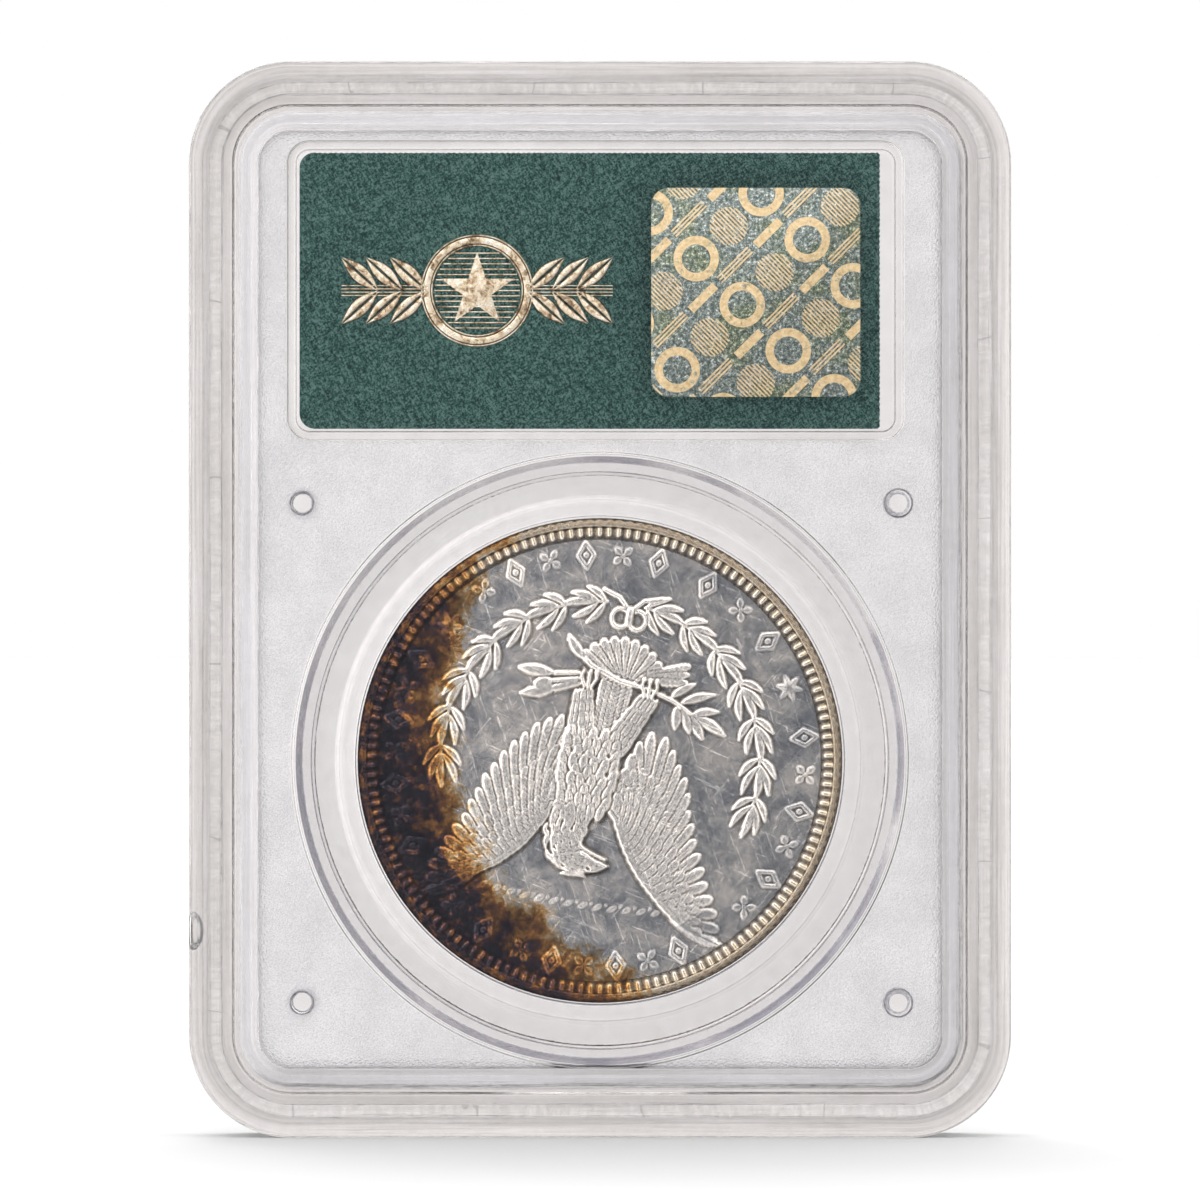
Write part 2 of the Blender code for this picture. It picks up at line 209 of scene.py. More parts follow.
class Graph:
    """The node tree of a material or a world, with short calls for the nodes used here."""

    def __init__(self, owner):
        owner.use_nodes = True
        self.owner = owner
        self.tree = owner.node_tree
        self.shader = self.tree.nodes.get("Principled BSDF") or self.tree.nodes["Background"]

    def node(self, kind, inputs=None, **settings):
        made = self.tree.nodes.new(kind)
        for key, value in settings.items():
            setattr(made, key, value)
        for key, value in (inputs or {}).items():
            self.feed(made.inputs[key], value)
        return made

    def feed(self, socket, value):
        if isinstance(value, bpy.types.NodeSocket):
            self.tree.links.new(value, socket)
        else:
            socket.default_value = value

    def coordinates(self, scale=(1, 1, 1), rotation=(0, 0, 0), location=(0, 0, 0)):
        """Object coordinates in millimetres, turned, then scaled and moved."""
        source = self.node("ShaderNodeTexCoord").outputs["Object"]
        if any(rotation):
            turned = self.node("ShaderNodeMapping", {"Vector": source, "Rotation": rotation})
            source = turned.outputs[0]
        scaled = tuple(value / MM for value in scale)
        inputs = {"Vector": source, "Scale": scaled, "Location": location}
        return self.node("ShaderNodeMapping", inputs).outputs[0]

    def split(self, vector):
        """The X, Y and Z outputs of a vector."""
        return self.node("ShaderNodeSeparateXYZ", {0: vector}).outputs

    def join(self, x, y, z=0.0):
        return self.node("ShaderNodeCombineXYZ", {0: x, 1: y, 2: z}).outputs[0]

    def attribute(self, name):
        """A number that the mesh holds for each of its points."""
        return self.node("ShaderNodeAttribute", attribute_name=name).outputs["Fac"]

    def noise(self, vector, scale, detail=2.0, roughness=0.5, distortion=0.0):
        inputs = {
            "Vector": vector,
            "Scale": scale,
            "Detail": detail,
            "Roughness": roughness,
            "Distortion": distortion,
        }
        return self.node("ShaderNodeTexNoise", inputs).outputs["Fac"]

    def step_noise(self, value):
        """One random number for each whole part of a value."""
        inputs = {"W": self.math("FLOOR", value)}
        return self.node("ShaderNodeTexWhiteNoise", inputs, noise_dimensions="1D").outputs["Value"]

    def voronoi(self, vector, scale, feature="F1"):
        inputs = {"Vector": vector, "Scale": scale}
        return self.node("ShaderNodeTexVoronoi", inputs, feature=feature).outputs["Distance"]

    def math(self, operation, a, b=0.0):
        made = self.node("ShaderNodeMath", operation=operation)
        for socket, value in zip(made.inputs, (a, b)):
            self.feed(socket, value)
        return made.outputs[0]

    def plus(self, a, b):
        return self.math("ADD", a, b)

    def minus(self, a, b):
        return self.math("SUBTRACT", a, b)

    def times(self, a, b):
        return self.math("MULTIPLY", a, b)

    def over(self, a, b):
        return self.math("DIVIDE", a, b)

    def weighted(self, *terms):
        """The sum of (value, weight) terms."""
        products = [self.times(value, weight) for value, weight in terms]
        total = products[0]
        for product in products[1:]:
            total = self.plus(total, product)
        return total

    def ramp(self, factor, *stops):
        """A colour ramp of (position, colour) stops; a colour may be one grey value."""
        made = self.node("ShaderNodeValToRGB", {"Fac": factor})
        elements = made.color_ramp.elements
        while len(elements) < len(stops):
            elements.new(1.0)
        for element, (position, colour) in zip(elements, stops):
            grey = isinstance(colour, (int, float))
            element.position = position
            element.color = (colour, colour, colour, 1) if grey else (*colour, 1)
        return made.outputs["Color"]

    def mix(self, factor, a, b, blend="MIX"):
        made = self.node("ShaderNodeMix", data_type="RGBA", blend_type=blend)
        self.feed(made.inputs[0], factor)
        for socket, value in ((made.inputs[6], a), (made.inputs[7], b)):
            self.feed(socket, (*value, 1) if isinstance(value, tuple) else value)
        return made.outputs[2]

    def tinted(self, a, b):
        """Two colours multiplied."""
        return self.mix(1.0, a, b, "MULTIPLY")

    def bump(self, height, distance):
        """A bump whose height of 1 stands for a distance in millimetres."""
        inputs = {"Height": height, "Distance": distance * MM, "Strength": 1.0}
        return self.node("ShaderNodeBump", inputs).outputs[0]

    def set(self, **inputs):
        """Feeds the shader's inputs; underscores stand for spaces."""
        for key, value in inputs.items():
            self.feed(self.shader.inputs[key.replace("_", " ")], value)
        return self.owner


def new_material(name):
    return Graph(bpy.data.materials.new(name))


POLYSTYRENE = {"IOR": 1.59, "Transmission_Weight": 1.0}
# Millimetres of inset that the rim's tint ramp covers
TINT_REACH = 10.0
WELD_RUN = 14.0
WELD_JOINT_SHARE = 0.012


def polished_plastic():
    """Clear polystyrene: moulding streaks that follow the rim, faint smudges and specks of dust."""
    g = new_material("polished_polystyrene")
    place = g.coordinates()
    parts = g.split(place)
    inset = g.attribute("inset")
    along = g.join(g.times(inset, 5.0), g.times(parts["X"], 0.07), g.times(parts["Z"], 0.07))
    streaks = g.noise(along, 1.0, detail=4, roughness=0.65)
    swirl = g.noise(place, 0.22, detail=4)
    mottle = g.noise(place, 1.3, detail=5, roughness=0.7)
    specks = g.ramp(g.voronoi(place, 1.1), (0.03, 1.0), (0.07, 0.0))
    height = g.weighted((swirl, 0.9), (streaks, 0.45), (mottle, 0.05))
    shade = g.weighted((streaks, 0.8), (mottle, 0.2))
    tint = g.ramp(
        shade,
        (0.35, (0.76, 0.735, 0.72)),
        (0.5, (0.87, 0.845, 0.835)),
        (0.65, (0.96, 0.94, 0.935)),
    )
    tint = g.mix(g.times(specks, 0.35), tint, (0.62, 0.60, 0.58))
    # Fine moulding lines on the outer band, and a slightly bluish ledge inside the step
    band = g.ramp(
        g.over(inset, TINT_REACH),
        (0.106, 1.0),
        (0.111, 0.70),
        (0.116, 0.96),
        (0.139, 0.96),
        (0.143, 0.80),
        (0.147, 0.95),
        (0.238, 0.95),
        (0.243, 0.72),
        (0.248, 0.96),
        (0.37, 0.98),
        (0.385, (0.93, 0.945, 0.97)),
        (0.48, (0.95, 0.96, 0.985)),
    )
    return g.set(
        Base_Color=g.tinted(tint, band),
        Roughness=g.ramp(mottle, (0.55, 0.0), (0.75, 0.05)),
        **POLYSTYRENE,
        Normal=g.bump(height, 0.03),
    )


def window_plastic():
    """The flat, clearest plastic over the coin and the label, with a few faint scratches."""
    g = new_material("window_polystyrene")
    place = g.coordinates()
    swirl = g.noise(place, 0.15, detail=3)
    cloud = g.noise(place, 0.6, detail=4)
    drawn_out = g.coordinates(scale=(0.3, 1, 5.0), rotation=(0, 0.7, 0))
    scratches = g.ramp(g.noise(drawn_out, 0.7, detail=3, roughness=0.8), (0.63, 0.0), (0.68, 1.0))
    return g.set(
        Base_Color=g.ramp(cloud, (0.35, (0.955, 0.935, 0.93)), (0.65, (0.99, 0.975, 0.97))),
        Roughness=0.0,
        **POLYSTYRENE,
        Normal=g.bump(g.weighted((swirl, 0.6), (scratches, 0.03)), 0.02),
    )


def frosted_plastic():
    """The inside of the panel: a pebbled texture that sparkles."""
    g = new_material("frosted_polystyrene")
    place = g.coordinates()
    pebbles = g.voronoi(place, 7.0, feature="SMOOTH_F1")
    grain = g.noise(place, 8.0, detail=3, roughness=0.75)
    cloud = g.noise(place, 0.25, detail=4)
    shade = g.ramp(grain, (0.38, (0.70, 0.695, 0.71)), (0.6, (0.97, 0.965, 0.975)))
    broad = g.ramp(cloud, (0.38, (0.90, 0.90, 0.905)), (0.62, (1.0, 1.0, 1.0)))
    return g.set(
        Base_Color=g.tinted(shade, broad),
        Roughness=0.17,
        **POLYSTYRENE,
        Normal=g.bump(g.weighted((pebbles, 0.8), (grain, 0.5)), 0.05),
    )


def post_wall_plastic():
    """Greyish, mottled plastic on the walls of the posts and their sockets."""
    g = new_material("post_wall_polystyrene")
    blotches = g.noise(g.coordinates(), 3.0, detail=5, roughness=0.7)
    colour = g.ramp(
        blotches,
        (0.38, (0.16, 0.155, 0.19)),
        (0.5, (0.34, 0.33, 0.38)),
        (0.62, (0.72, 0.71, 0.74)),
    )
    return g.set(Base_Color=colour, Roughness=0.3, **POLYSTYRENE, Normal=g.bump(blotches, 0.06))


def weld_plastic():
    """The weld bead: short runs with fine flecks across it and a thin line where two runs meet."""
    g = new_material("weld_polystyrene")
    along = g.attribute("along")
    place = g.join(along, g.times(g.attribute("inset"), 0.4))
    flecks = g.noise(place, 1.9, detail=5, roughness=0.75)
    cloud = g.noise(place, 0.25, detail=3)
    share = g.over(g.plus(along, g.times(cloud, 6.0)), WELD_RUN)
    joint = g.math("LESS_THAN", g.math("FRACT", share), WELD_JOINT_SHARE)
    colour = g.ramp(
        g.weighted((flecks, 0.9), (g.step_noise(share), 0.04)),
        (0.34, (0.83, 0.81, 0.80)),
        (0.48, (0.91, 0.89, 0.88)),
        (0.60, (0.99, 0.98, 0.97)),
    )
    return g.set(
        Base_Color=g.mix(joint, colour, (0.70, 0.68, 0.67)),
        Roughness=g.ramp(flecks, (0.5, 0.02), (0.7, 0.12)),
        **POLYSTYRENE,
        Normal=g.bump(flecks, 0.012),
    )


def ring_plastic():
    """The coin ring's plastic: clear, with a slight cloudiness and a fine grain."""
    g = new_material("ring_polystyrene")
    place = g.coordinates()
    cloud = g.noise(place, 1.2, detail=3)
    grain = g.noise(place, 5.0, detail=3)
    return g.set(
        Base_Color=g.ramp(cloud, (0.3, (0.925, 0.915, 0.92)), (0.7, (0.965, 0.955, 0.96))),
        Roughness=0.05,
        **POLYSTYRENE,
        Normal=g.bump(grain, 0.012),
    )


TONING_CENTRE = (10.4, 0, 3.6)
TONING_RADIUS = 21.4
TONING_WIDTH = 5.0


def toning_film(g, place, relief):
    """How thick the tarnish is, from 0 to 1."""

    def vector_math(operation, a, b, output):
        return g.node("ShaderNodeVectorMath", {0: a, 1: b}, operation=operation).outputs[output]

    # It thickens away from a circle that lies off the coin's axis
    flat = vector_math("MULTIPLY", place, (1, 0, 1), "Vector")
    crescent = vector_math("DISTANCE", flat, TONING_CENTRE, "Value")
    radius = vector_math("LENGTH", flat, (0, 0, 0), "Value")
    broad = g.noise(place, 0.28, detail=5, roughness=0.6)
    flecks = g.noise(place, 1.6, detail=5, roughness=0.7)
    wander = g.weighted((g.minus(broad, 0.5), 5.5), (g.minus(flecks, 0.5), 5.0))
    film = g.over(g.plus(g.minus(crescent, TONING_RADIUS), wander), TONING_WIDTH)
    film = g.math("MINIMUM", g.math("MAXIMUM", film, 0.0), 1.0)
    # The rim wears the film a little thinner, and holds a faint gold tint all round
    rim = g.ramp(g.over(radius, COIN_RADIUS / MM), (0.9, 0.0), (0.95, 1.0))
    film = g.times(film, g.minus(1.0, g.times(rim, 0.28)))
    # It is patchy, and thinner where the design stands proud of the field
    patches = g.ramp(g.noise(place, 0.9, detail=8, roughness=0.7), (0.40, 0.45), (0.56, 1.0))
    film = g.times(film, patches)
    design = g.times(relief, g.minus(1.0, rim))
    film = g.times(film, g.minus(1.0, g.times(design, 0.30)))
    return g.math("MAXIMUM", film, g.times(rim, g.times(flecks, 0.15)))


def toning_colour(g, place, film):
    """The film's colour, from clear through gold and brown to a purplish black, with a fine grain."""
    colour = g.ramp(
        film,
        (0.0, (1.0, 1.0, 1.0)),
        (0.07, (0.93, 0.85, 0.71)),
        (0.15, (0.80, 0.55, 0.27)),
        (0.24, (0.58, 0.30, 0.09)),
        (0.34, (0.36, 0.17, 0.06)),
        (0.46, (0.20, 0.10, 0.065)),
        (0.58, (0.11, 0.062, 0.070)),
        (0.70, (0.050, 0.042, 0.055)),
        (0.84, (0.034, 0.036, 0.050)),
        (1.0, (0.050, 0.042, 0.046)),
    )
    grain = g.ramp(g.noise(place, 6.0, detail=4, roughness=0.8), (0.38, 0.55), (0.62, 1.6))
    return g.mix(g.times(film, 0.9), colour, g.tinted(colour, grain))


def silver_with_painted_light(g, place, relief, device_noise):
    """Mirror field with cloudy patches of painted reflection and a painted shade that darkens it towards
    +X, paler devices, and painted shade in the recesses.
    """
    # Painted reflection: cloudy light and dark patches on the mirror field.
    reflection_clouds = g.noise(place, 0.33, detail=8, roughness=0.72, distortion=0.5)
    field = g.ramp(
        reflection_clouds,
        (0.36, (0.38, 0.39, 0.41)),
        (0.48, (0.62, 0.61, 0.60)),
        (0.62, (0.96, 0.90, 0.83)),
    )
    # Painted shade: the field darkens towards +X.
    sideways = g.plus(g.times(g.split(place)["X"], 0.02), 0.5)
    field = g.tinted(field, g.ramp(sideways, (0.3, 1.0), (0.75, (0.78, 0.79, 0.80))))
    device = g.ramp(device_noise, (0.35, (0.80, 0.76, 0.71)), (0.6, (1.0, 0.96, 0.905)))
    # Painted shade: low values of the 'wear' attribute darken hollows, the gaps between the teeth and
    # the rim's slopes.
    recess_shade = g.ramp(
        g.attribute("wear"),
        (0.05, (0.13, 0.115, 0.10)),
        (0.3, (0.42, 0.40, 0.38)),
        (0.47, (0.93, 0.93, 0.93)),
        (0.7, (1.0, 1.0, 1.0)),
    )
    return g.tinted(g.mix(relief, field, device), recess_shade)


def toned_silver():
    """Struck silver: mirror fields with painted reflection and shade, frosted devices and a crescent of
    dark toning.
    """
    g = new_material("toned_silver")
    place = g.coordinates(location=(0, 0, -RING_CENTRE_Z / MM))
    relief = g.attribute("relief")
    device_noise = g.noise(place, 3.5, detail=4, roughness=0.7)
    silver = silver_with_painted_light(g, place, relief, device_noise)
    film_colour = toning_colour(g, place, toning_film(g, place, relief))
    marks = 0.0
    for turn, stretch in ((0.9, 5.0), (-0.4, 6.0), (1.9, 7.0)):
        drawn_out = g.coordinates(scale=(0.25, 1, stretch), rotation=(0, turn, 0))
        hairlines = g.noise(drawn_out, 0.8, detail=3, roughness=0.8)
        marks = g.plus(marks, g.ramp(hairlines, (0.64, 0.0), (0.7, 1.0)))
    grain = g.noise(place, 7.0, detail=3, roughness=0.75)
    haze = g.ramp(g.noise(place, 0.8, detail=6, roughness=0.7), (0.35, 0.12), (0.7, 0.24))
    return g.set(
        Base_Color=g.tinted(silver, film_colour),
        Metallic=1.0,
        Roughness=g.mix(relief, haze, g.ramp(device_noise, (0.3, 0.12), (0.7, 0.26))),
        Normal=g.bump(g.weighted((marks, 0.4), (grain, 1.2)), 0.012),
    )


def green_card():
    """Dark green uncoated card, mottled by its fibres."""
    g = new_material("green_card")
    slanted_a = g.coordinates(scale=(1, 1, 2.6), rotation=(0, 0.6, 0))
    slanted_b = g.coordinates(scale=(2.8, 1, 1), rotation=(0, 0.5, 0))
    fibres_a = g.noise(slanted_a, 3.2, detail=5, roughness=0.75)
    fibres_b = g.noise(slanted_b, 2.6, detail=5, roughness=0.75)
    speck = g.noise(g.coordinates(), 8.5, detail=3, roughness=0.7)
    weave = g.weighted((g.plus(fibres_a, fibres_b), 0.35), (speck, 0.3))
    colour = g.ramp(
        weave,
        (0.44, (0.010, 0.052, 0.044)),
        (0.5, (0.062, 0.185, 0.158)),
        (0.55, (0.25, 0.47, 0.42)),
    )
    return g.set(Base_Color=colour, Roughness=0.9, Specular_IOR_Level=0.2, Normal=g.bump(weave, 0.06))


# Places on the label's front, in millimetres from its middle and up from its lower edge
PRINT_HALF_WIDTH = 19.0
ROWS_LOW, ROWS_HIGH = 6.0, 19.6
ROW_START, ROW_PITCH, ROW_SHARE = 6.2, 3.6, 0.36
BLOCK_RIGHT, BLOCK_LOW, BLOCK_HIGH = -5.0, 1.6, 4.4
BAR_PITCH = 0.3


def printed_face():
    """The label's front: pale green paper with rows of plain dashes and a block of bars."""
    g = new_material("printed_face")
    place = g.coordinates()
    parts = g.split(place)
    x = parts["X"]
    above = g.minus(parts["Z"], CARD_LOW[2] / MM)

    def between(value, low, high):
        return g.times(g.math("GREATER_THAN", value, low), g.math("LESS_THAN", value, high))

    row = g.over(g.minus(above, ROW_START), ROW_PITCH)
    in_row = g.math("LESS_THAN", g.math("FRACT", row), ROW_SHARE)
    dash_place = g.join(g.times(x, 0.75), g.times(g.math("FLOOR", row), 7.3))
    dashes = g.math("GREATER_THAN", g.noise(dash_place, 1.0, detail=1), 0.47)
    across = between(x, -PRINT_HALF_WIDTH, PRINT_HALF_WIDTH)
    rows = g.times(g.times(in_row, dashes), g.times(across, between(above, ROWS_LOW, ROWS_HIGH)))
    block = g.times(between(x, -PRINT_HALF_WIDTH, BLOCK_RIGHT), between(above, BLOCK_LOW, BLOCK_HIGH))
    bars = g.times(g.math("GREATER_THAN", g.step_noise(g.over(x, BAR_PITCH)), 0.5), block)
    fibres = g.noise(place, 4.0, detail=5, roughness=0.7)
    paper = g.ramp(fibres, (0.35, (0.42, 0.60, 0.47)), (0.65, (0.52, 0.70, 0.56)))
    return g.set(
        Base_Color=g.mix(g.math("MAXIMUM", rows, bars), paper, (0.03, 0.06, 0.05)),
        Roughness=0.75,
        Normal=g.bump(fibres, 0.02),
    )


def gold_foil():
    """Stamped pale gold foil with brown mottling where it is thin."""
    g = new_material("gold_foil")
    place = g.coordinates()
    mottle = g.noise(place, 1.5, detail=6, roughness=0.75, distortion=0.6)
    colour = g.ramp(
        mottle,
        (0.36, (0.20, 0.125, 0.065)),
        (0.44, (0.60, 0.45, 0.28)),
        (0.52, (0.96, 0.83, 0.62)),
        (0.66, (1.0, 0.97, 0.88)),
    )
    crinkle = g.noise(place, 5.0, detail=4, roughness=0.7)
    return g.set(
        Base_Color=colour,
        Metallic=1.0,
        Roughness=g.ramp(mottle, (0.35, 0.45), (0.65, 0.22)),
        Normal=g.bump(crinkle, 0.035),
    )


def foil_edge_painted_shade():
    """The steep edge of the foil, painted dark brown as shade."""
    g = new_material("foil_edge_painted_shade")
    grain = g.noise(g.coordinates(), 4.0, detail=4, roughness=0.7)
    return g.set(
        Base_Color=g.ramp(grain, (0.38, (0.035, 0.028, 0.02)), (0.66, (0.30, 0.22, 0.13))),
        Metallic=0.6,
        Roughness=0.45,
        Normal=g.bump(grain, 0.02),
    )


HOLOGRAM_PITCH_A = 7.2
HOLOGRAM_PITCH_B = 5.1
HATCH_PITCH = 0.26


def hologram_shapes(g, place):
    """A mask of rings, hatched discs, bars and line bundles in a lattice set at 45 degrees."""
    turned = g.split(g.coordinates(rotation=(0, math.pi / 4, 0)))

    def repeated(value, pitch, shift):
        """A coordinate that starts again in every cell, from -pitch / 2 to pitch / 2."""
        shifted = g.plus(value, shift * pitch)
        return g.minus(g.math("FLOORED_MODULO", shifted, pitch), pitch / 2)

    def cell(shift_a, shift_b):
        a = repeated(turned["X"], HOLOGRAM_PITCH_A, shift_a)
        return a, repeated(turned["Z"], HOLOGRAM_PITCH_B, shift_b)

    def reach(a, b):
        return g.math("SQRT", g.plus(g.times(a, a), g.times(b, b)))

    def within(value, limit):
        return g.math("LESS_THAN", g.math("ABSOLUTE", value), limit)

    def hatching(value, width):
        return g.math("LESS_THAN", g.math("FLOORED_MODULO", value, HATCH_PITCH), width)

    rings = within(g.minus(reach(*cell(0.0, 0.0)), 1.45), 0.33)
    a, b = cell(0.5, 0.0)
    discs = g.times(within(reach(a, b), 1.5), hatching(a, 0.12))
    a, b = cell(0.25, 0.5)
    bars = g.times(within(a, 1.35), within(b, 0.34))
    a, b = cell(0.75, 0.5)
    bundles = g.times(g.times(within(a, 1.7), within(b, 0.40)), hatching(b, 0.13))
    shapes = g.math("MAXIMUM", g.math("MAXIMUM", rings, bars), g.math("MAXIMUM", discs, bundles))
    wear = g.ramp(g.noise(place, 1.6, detail=5, roughness=0.75), (0.33, 0.25), (0.45, 1.0))
    return g.times(shapes, wear)


def hologram_film():
    """Metallised film: a glittering teal-grey ground with stains under a worn, gold lattice."""
    g = new_material("hologram_film")
    place = g.coordinates()
    shapes = hologram_shapes(g, place)
    sparkle = g.ramp(
        g.noise(place, 3.0, detail=5, roughness=0.85),
        (0.40, (0.05, 0.07, 0.065)),
        (0.51, (0.17, 0.20, 0.185)),
        (0.58, (0.40, 0.43, 0.40)),
        (0.66, (1.0, 1.0, 0.97)),
    )
    stains = g.ramp(g.noise(place, 0.24, detail=4, roughness=0.6), (0.50, 0.0), (0.62, 0.6))
    ground = g.mix(stains, sparkle, g.tinted(sparkle, (0.92, 0.92, 0.55)))
    gold = g.ramp(
        g.noise(place, 2.4, detail=4, roughness=0.7),
        (0.35, (0.60, 0.42, 0.21)),
        (0.62, (0.84, 0.65, 0.39)),
    )
    crinkle = g.noise(place, 3.0, detail=5, roughness=0.75)
    return g.set(
        Base_Color=g.mix(shapes, ground, gold),
        Metallic=g.minus(0.75, g.times(shapes, 0.35)),
        Roughness=g.plus(g.times(shapes, 0.12), 0.28),
        Normal=g.bump(crinkle, 0.05),
    )


# ---------------------------------------------------------------- case

SEAM_DEPTH = 0.03 * MM
BEAD_INSET = 2.0 * MM
BEAD_HALF_WIDTH = 0.4 * MM
BEAD_SHOULDER = 0.6 * MM
BEAD_TIP = 0.75 * MM
BEAD_FIT = 0.05 * MM
WALL_DRAFT = 0.35 * MM
FILLET = 0.15 * MM
EDGE_ROUNDING = 0.5 * MM
LEDGE_DEPTH = 3.6 * MM
GATE_Z = 16.15 * MM
GATE_HALF_LENGTH = 1.7 * MM
GATE_BITE = 1.15 * MM
GATE_DEPTH = 2.4 * MM


def case_outline(inset):
    half = CASE_HALF_WIDTH - inset
    return rectangle(-half, half, inset, CASE_HEIGHT - inset, CASE_CORNER - inset)


def pocket_outline(inset):
    low_x = CARD_LOW[0] - REST_GAP - POCKET_WALL + inset
    high_x = CARD_HIGH[0] + REST_GAP + POCKET_PLAY_X + POCKET_WALL - inset
    low_z = CARD_LOW[2] - POCKET_PLAY_Z - POCKET_WALL + inset
    high_z = CARD_HIGH[2] + POCKET_PLAY_Z + POCKET_WALL - inset
    return rectangle(low_x, high_x, low_z, high_z, POCKET_CORNER - inset)


def rim_corners():
    """The side and the stepped outer face, from the seam to the panel, as (inset, depth, radius)."""
    return [
        (0.0, SEAM_DEPTH + 0.08 * MM, 0),
        (0.0, GATE_DEPTH, 0),
        (0.0, GATE_DEPTH + 0.2 * MM, 0),
        (0.0, RIM_DEPTH, EDGE_ROUNDING),
        (3.38 * MM, RIM_DEPTH, 0.12 * MM),
        (3.62 * MM, LEDGE_DEPTH, 0.12 * MM),
        (4.9 * MM, LEDGE_DEPTH - 0.05 * MM, 0.25 * MM),
        (5.35 * MM, PANEL_DEPTH, 0.2 * MM),
        (5.7 * MM, PANEL_DEPTH, 0),
    ]


def seam_corners(side):
    """The cavity wall and the seam face with the weld bead, or the groove that it fills."""
    half, shoulder, tip = BEAD_HALF_WIDTH, BEAD_SHOULDER, BEAD_TIP
    if side == FRONT:
        half, shoulder, tip = half + BEAD_FIT, shoulder + BEAD_FIT, tip + BEAD_FIT
    # Seen from its own half, the rear's bead stands out past the seam and the front's groove is sunk
    return [
        (RIM_WIDTH + WALL_DRAFT + FILLET, FROSTED_DEPTH, 0),
        (RIM_WIDTH + WALL_DRAFT, FROSTED_DEPTH, FILLET / 2),
        (RIM_WIDTH, SEAM_DEPTH, 0.05 * MM),
        (BEAD_INSET + half, SEAM_DEPTH, 0),
        (BEAD_INSET + half, side * shoulder, 0),
        (BEAD_INSET, side * tip, 0.1 * MM),
        (BEAD_INSET - half, side * shoulder, 0),
        (BEAD_INSET - half, SEAM_DEPTH, 0),
        (0.08 * MM, SEAM_DEPTH, 0),
    ]


def pocket_layers(side):
    """The rear half carries the pocket's wall and both halves a raised window, as (inset, depth)."""
    root = [(-FILLET, FROSTED_DEPTH, 0), (0.0, FROSTED_DEPTH, FILLET / 2)]
    if side == REAR:
        tip = -(POCKET_FLOOR_DEPTH - REST_GAP)
        corners = root + [
            (0.0, tip, 0.1 * MM),
            (POCKET_WALL, tip, 0.1 * MM),
            (POCKET_WALL, POCKET_FLOOR_DEPTH, 0.1 * MM),
            (POCKET_WALL + 0.2 * MM, POCKET_FLOOR_DEPTH, 0),
        ]
    else:
        corners = root + [(0.0, POCKET_FLOOR_DEPTH, 0.1 * MM), (0.2 * MM, POCKET_FLOOR_DEPTH, 0)]
    return [(pocket_outline(inset), side * depth) for inset, depth in rounded_path(corners)]


def turned_layers(side, corners, steps, x, z):
    return [(circle(radius, steps, x, z), side * depth) for radius, depth in rounded_path(corners)]


def cut_gate(bm):
    """The moulding gate left a D-shaped scoop low in the side at -X."""
    for vertex in bm.verts:
        reach = (vertex.co.z - GATE_Z) / GATE_HALF_LENGTH
        if vertex.co.x < 0 and abs(reach) < 1 and abs(vertex.co.y) <= GATE_DEPTH * 1.001:
            bite = GATE_BITE * math.sqrt(1 - reach**2)
            vertex.co.x = max(vertex.co.x, bite - CASE_HALF_WIDTH)


RIM_SLOT, FROSTED_SLOT, WINDOW_SLOT, WELD_SLOT, POST_SLOT = range(5)


def make_case_half(name, side, materials):
    """A half shell as one closed mesh: rim, panel, cavity, pocket, ring seat, posts and sockets."""
    bm = bmesh.new()
    inset_layer = bm.verts.layers.float.new("inset")
    along_layer = bm.verts.layers.float.new("along")
    path = rounded_path(seam_corners(side) + rim_corners())
    loops = [add_loop(bm, case_outline(inset), side * depth) for inset, depth in path]
    steps = np.linalg.norm(np.diff(case_outline(0), axis=0), axis=1)
    reach = np.concatenate([[0], np.cumsum(steps)])
    for loop, (inset, _) in zip(loops, path):
        for vertex, distance in zip(loop, reach):
            vertex[inset_layer] = inset / MM
            vertex[along_layer] = distance / MM
    add_walls(bm, loops, RIM_SLOT)
    if side == REAR:
        cut_gate(bm)
    for face in bm.faces:
        in_strip = all(1.5 < vertex[inset_layer] < 2.5 for vertex in face.verts)
        if in_strip and abs(face.calc_center_median().y) < 0.9 * MM:
            face.material_index = WELD_SLOT
    bm.faces.new(loops[-1]).material_index = WINDOW_SLOT
    plate_loops = [loops[0], add_loft(bm, pocket_layers(side), RIM_SLOT, WINDOW_SLOT)]
    seat = RING_RADIUS + REST_GAP
    seat_corners = [
        (seat + FILLET, FROSTED_DEPTH, 0),
        (seat, FROSTED_DEPTH, FILLET / 2),
        (seat, WINDOW_DEPTH, 0.1 * MM),
        (seat - 0.3 * MM, WINDOW_DEPTH, 0),
    ]
    seat_layers = turned_layers(side, seat_corners, ROUND_STEPS, 0, RING_CENTRE_Z)
    plate_loops.append(add_loft(bm, seat_layers, WINDOW_SLOT, WINDOW_SLOT))
    post_corners = [
        (POST_RADIUS + FILLET, FROSTED_DEPTH, 0),
        (POST_RADIUS, FROSTED_DEPTH, FILLET / 2),
        (POST_RADIUS, -SOCKET_FLOOR_DEPTH + REST_GAP, 0.1 * MM),
        (POST_RADIUS - 0.12 * MM, -SOCKET_FLOOR_DEPTH + REST_GAP, 0),
    ]
    socket_corners = [
        (SOCKET_RADIUS + FILLET / 2, FROSTED_DEPTH, 0),
        (SOCKET_RADIUS, FROSTED_DEPTH, FILLET / 4),
        (SOCKET_RADIUS, SOCKET_FLOOR_DEPTH, 0.1 * MM),
        (SOCKET_RADIUS - 0.12 * MM, SOCKET_FLOOR_DEPTH, 0),
    ]
    for z in POST_HEIGHTS:
        for x, shape in ((side * POST_X, post_corners), (-side * POST_X, socket_corners)):
            layers = turned_layers(side, shape, POST_STEPS, x, z)
            plate_loops.append(add_loft(bm, layers, POST_SLOT, WINDOW_SLOT))
    add_plate(bm, plate_loops, FROSTED_SLOT)
    return make_piece(name, bm, materials)


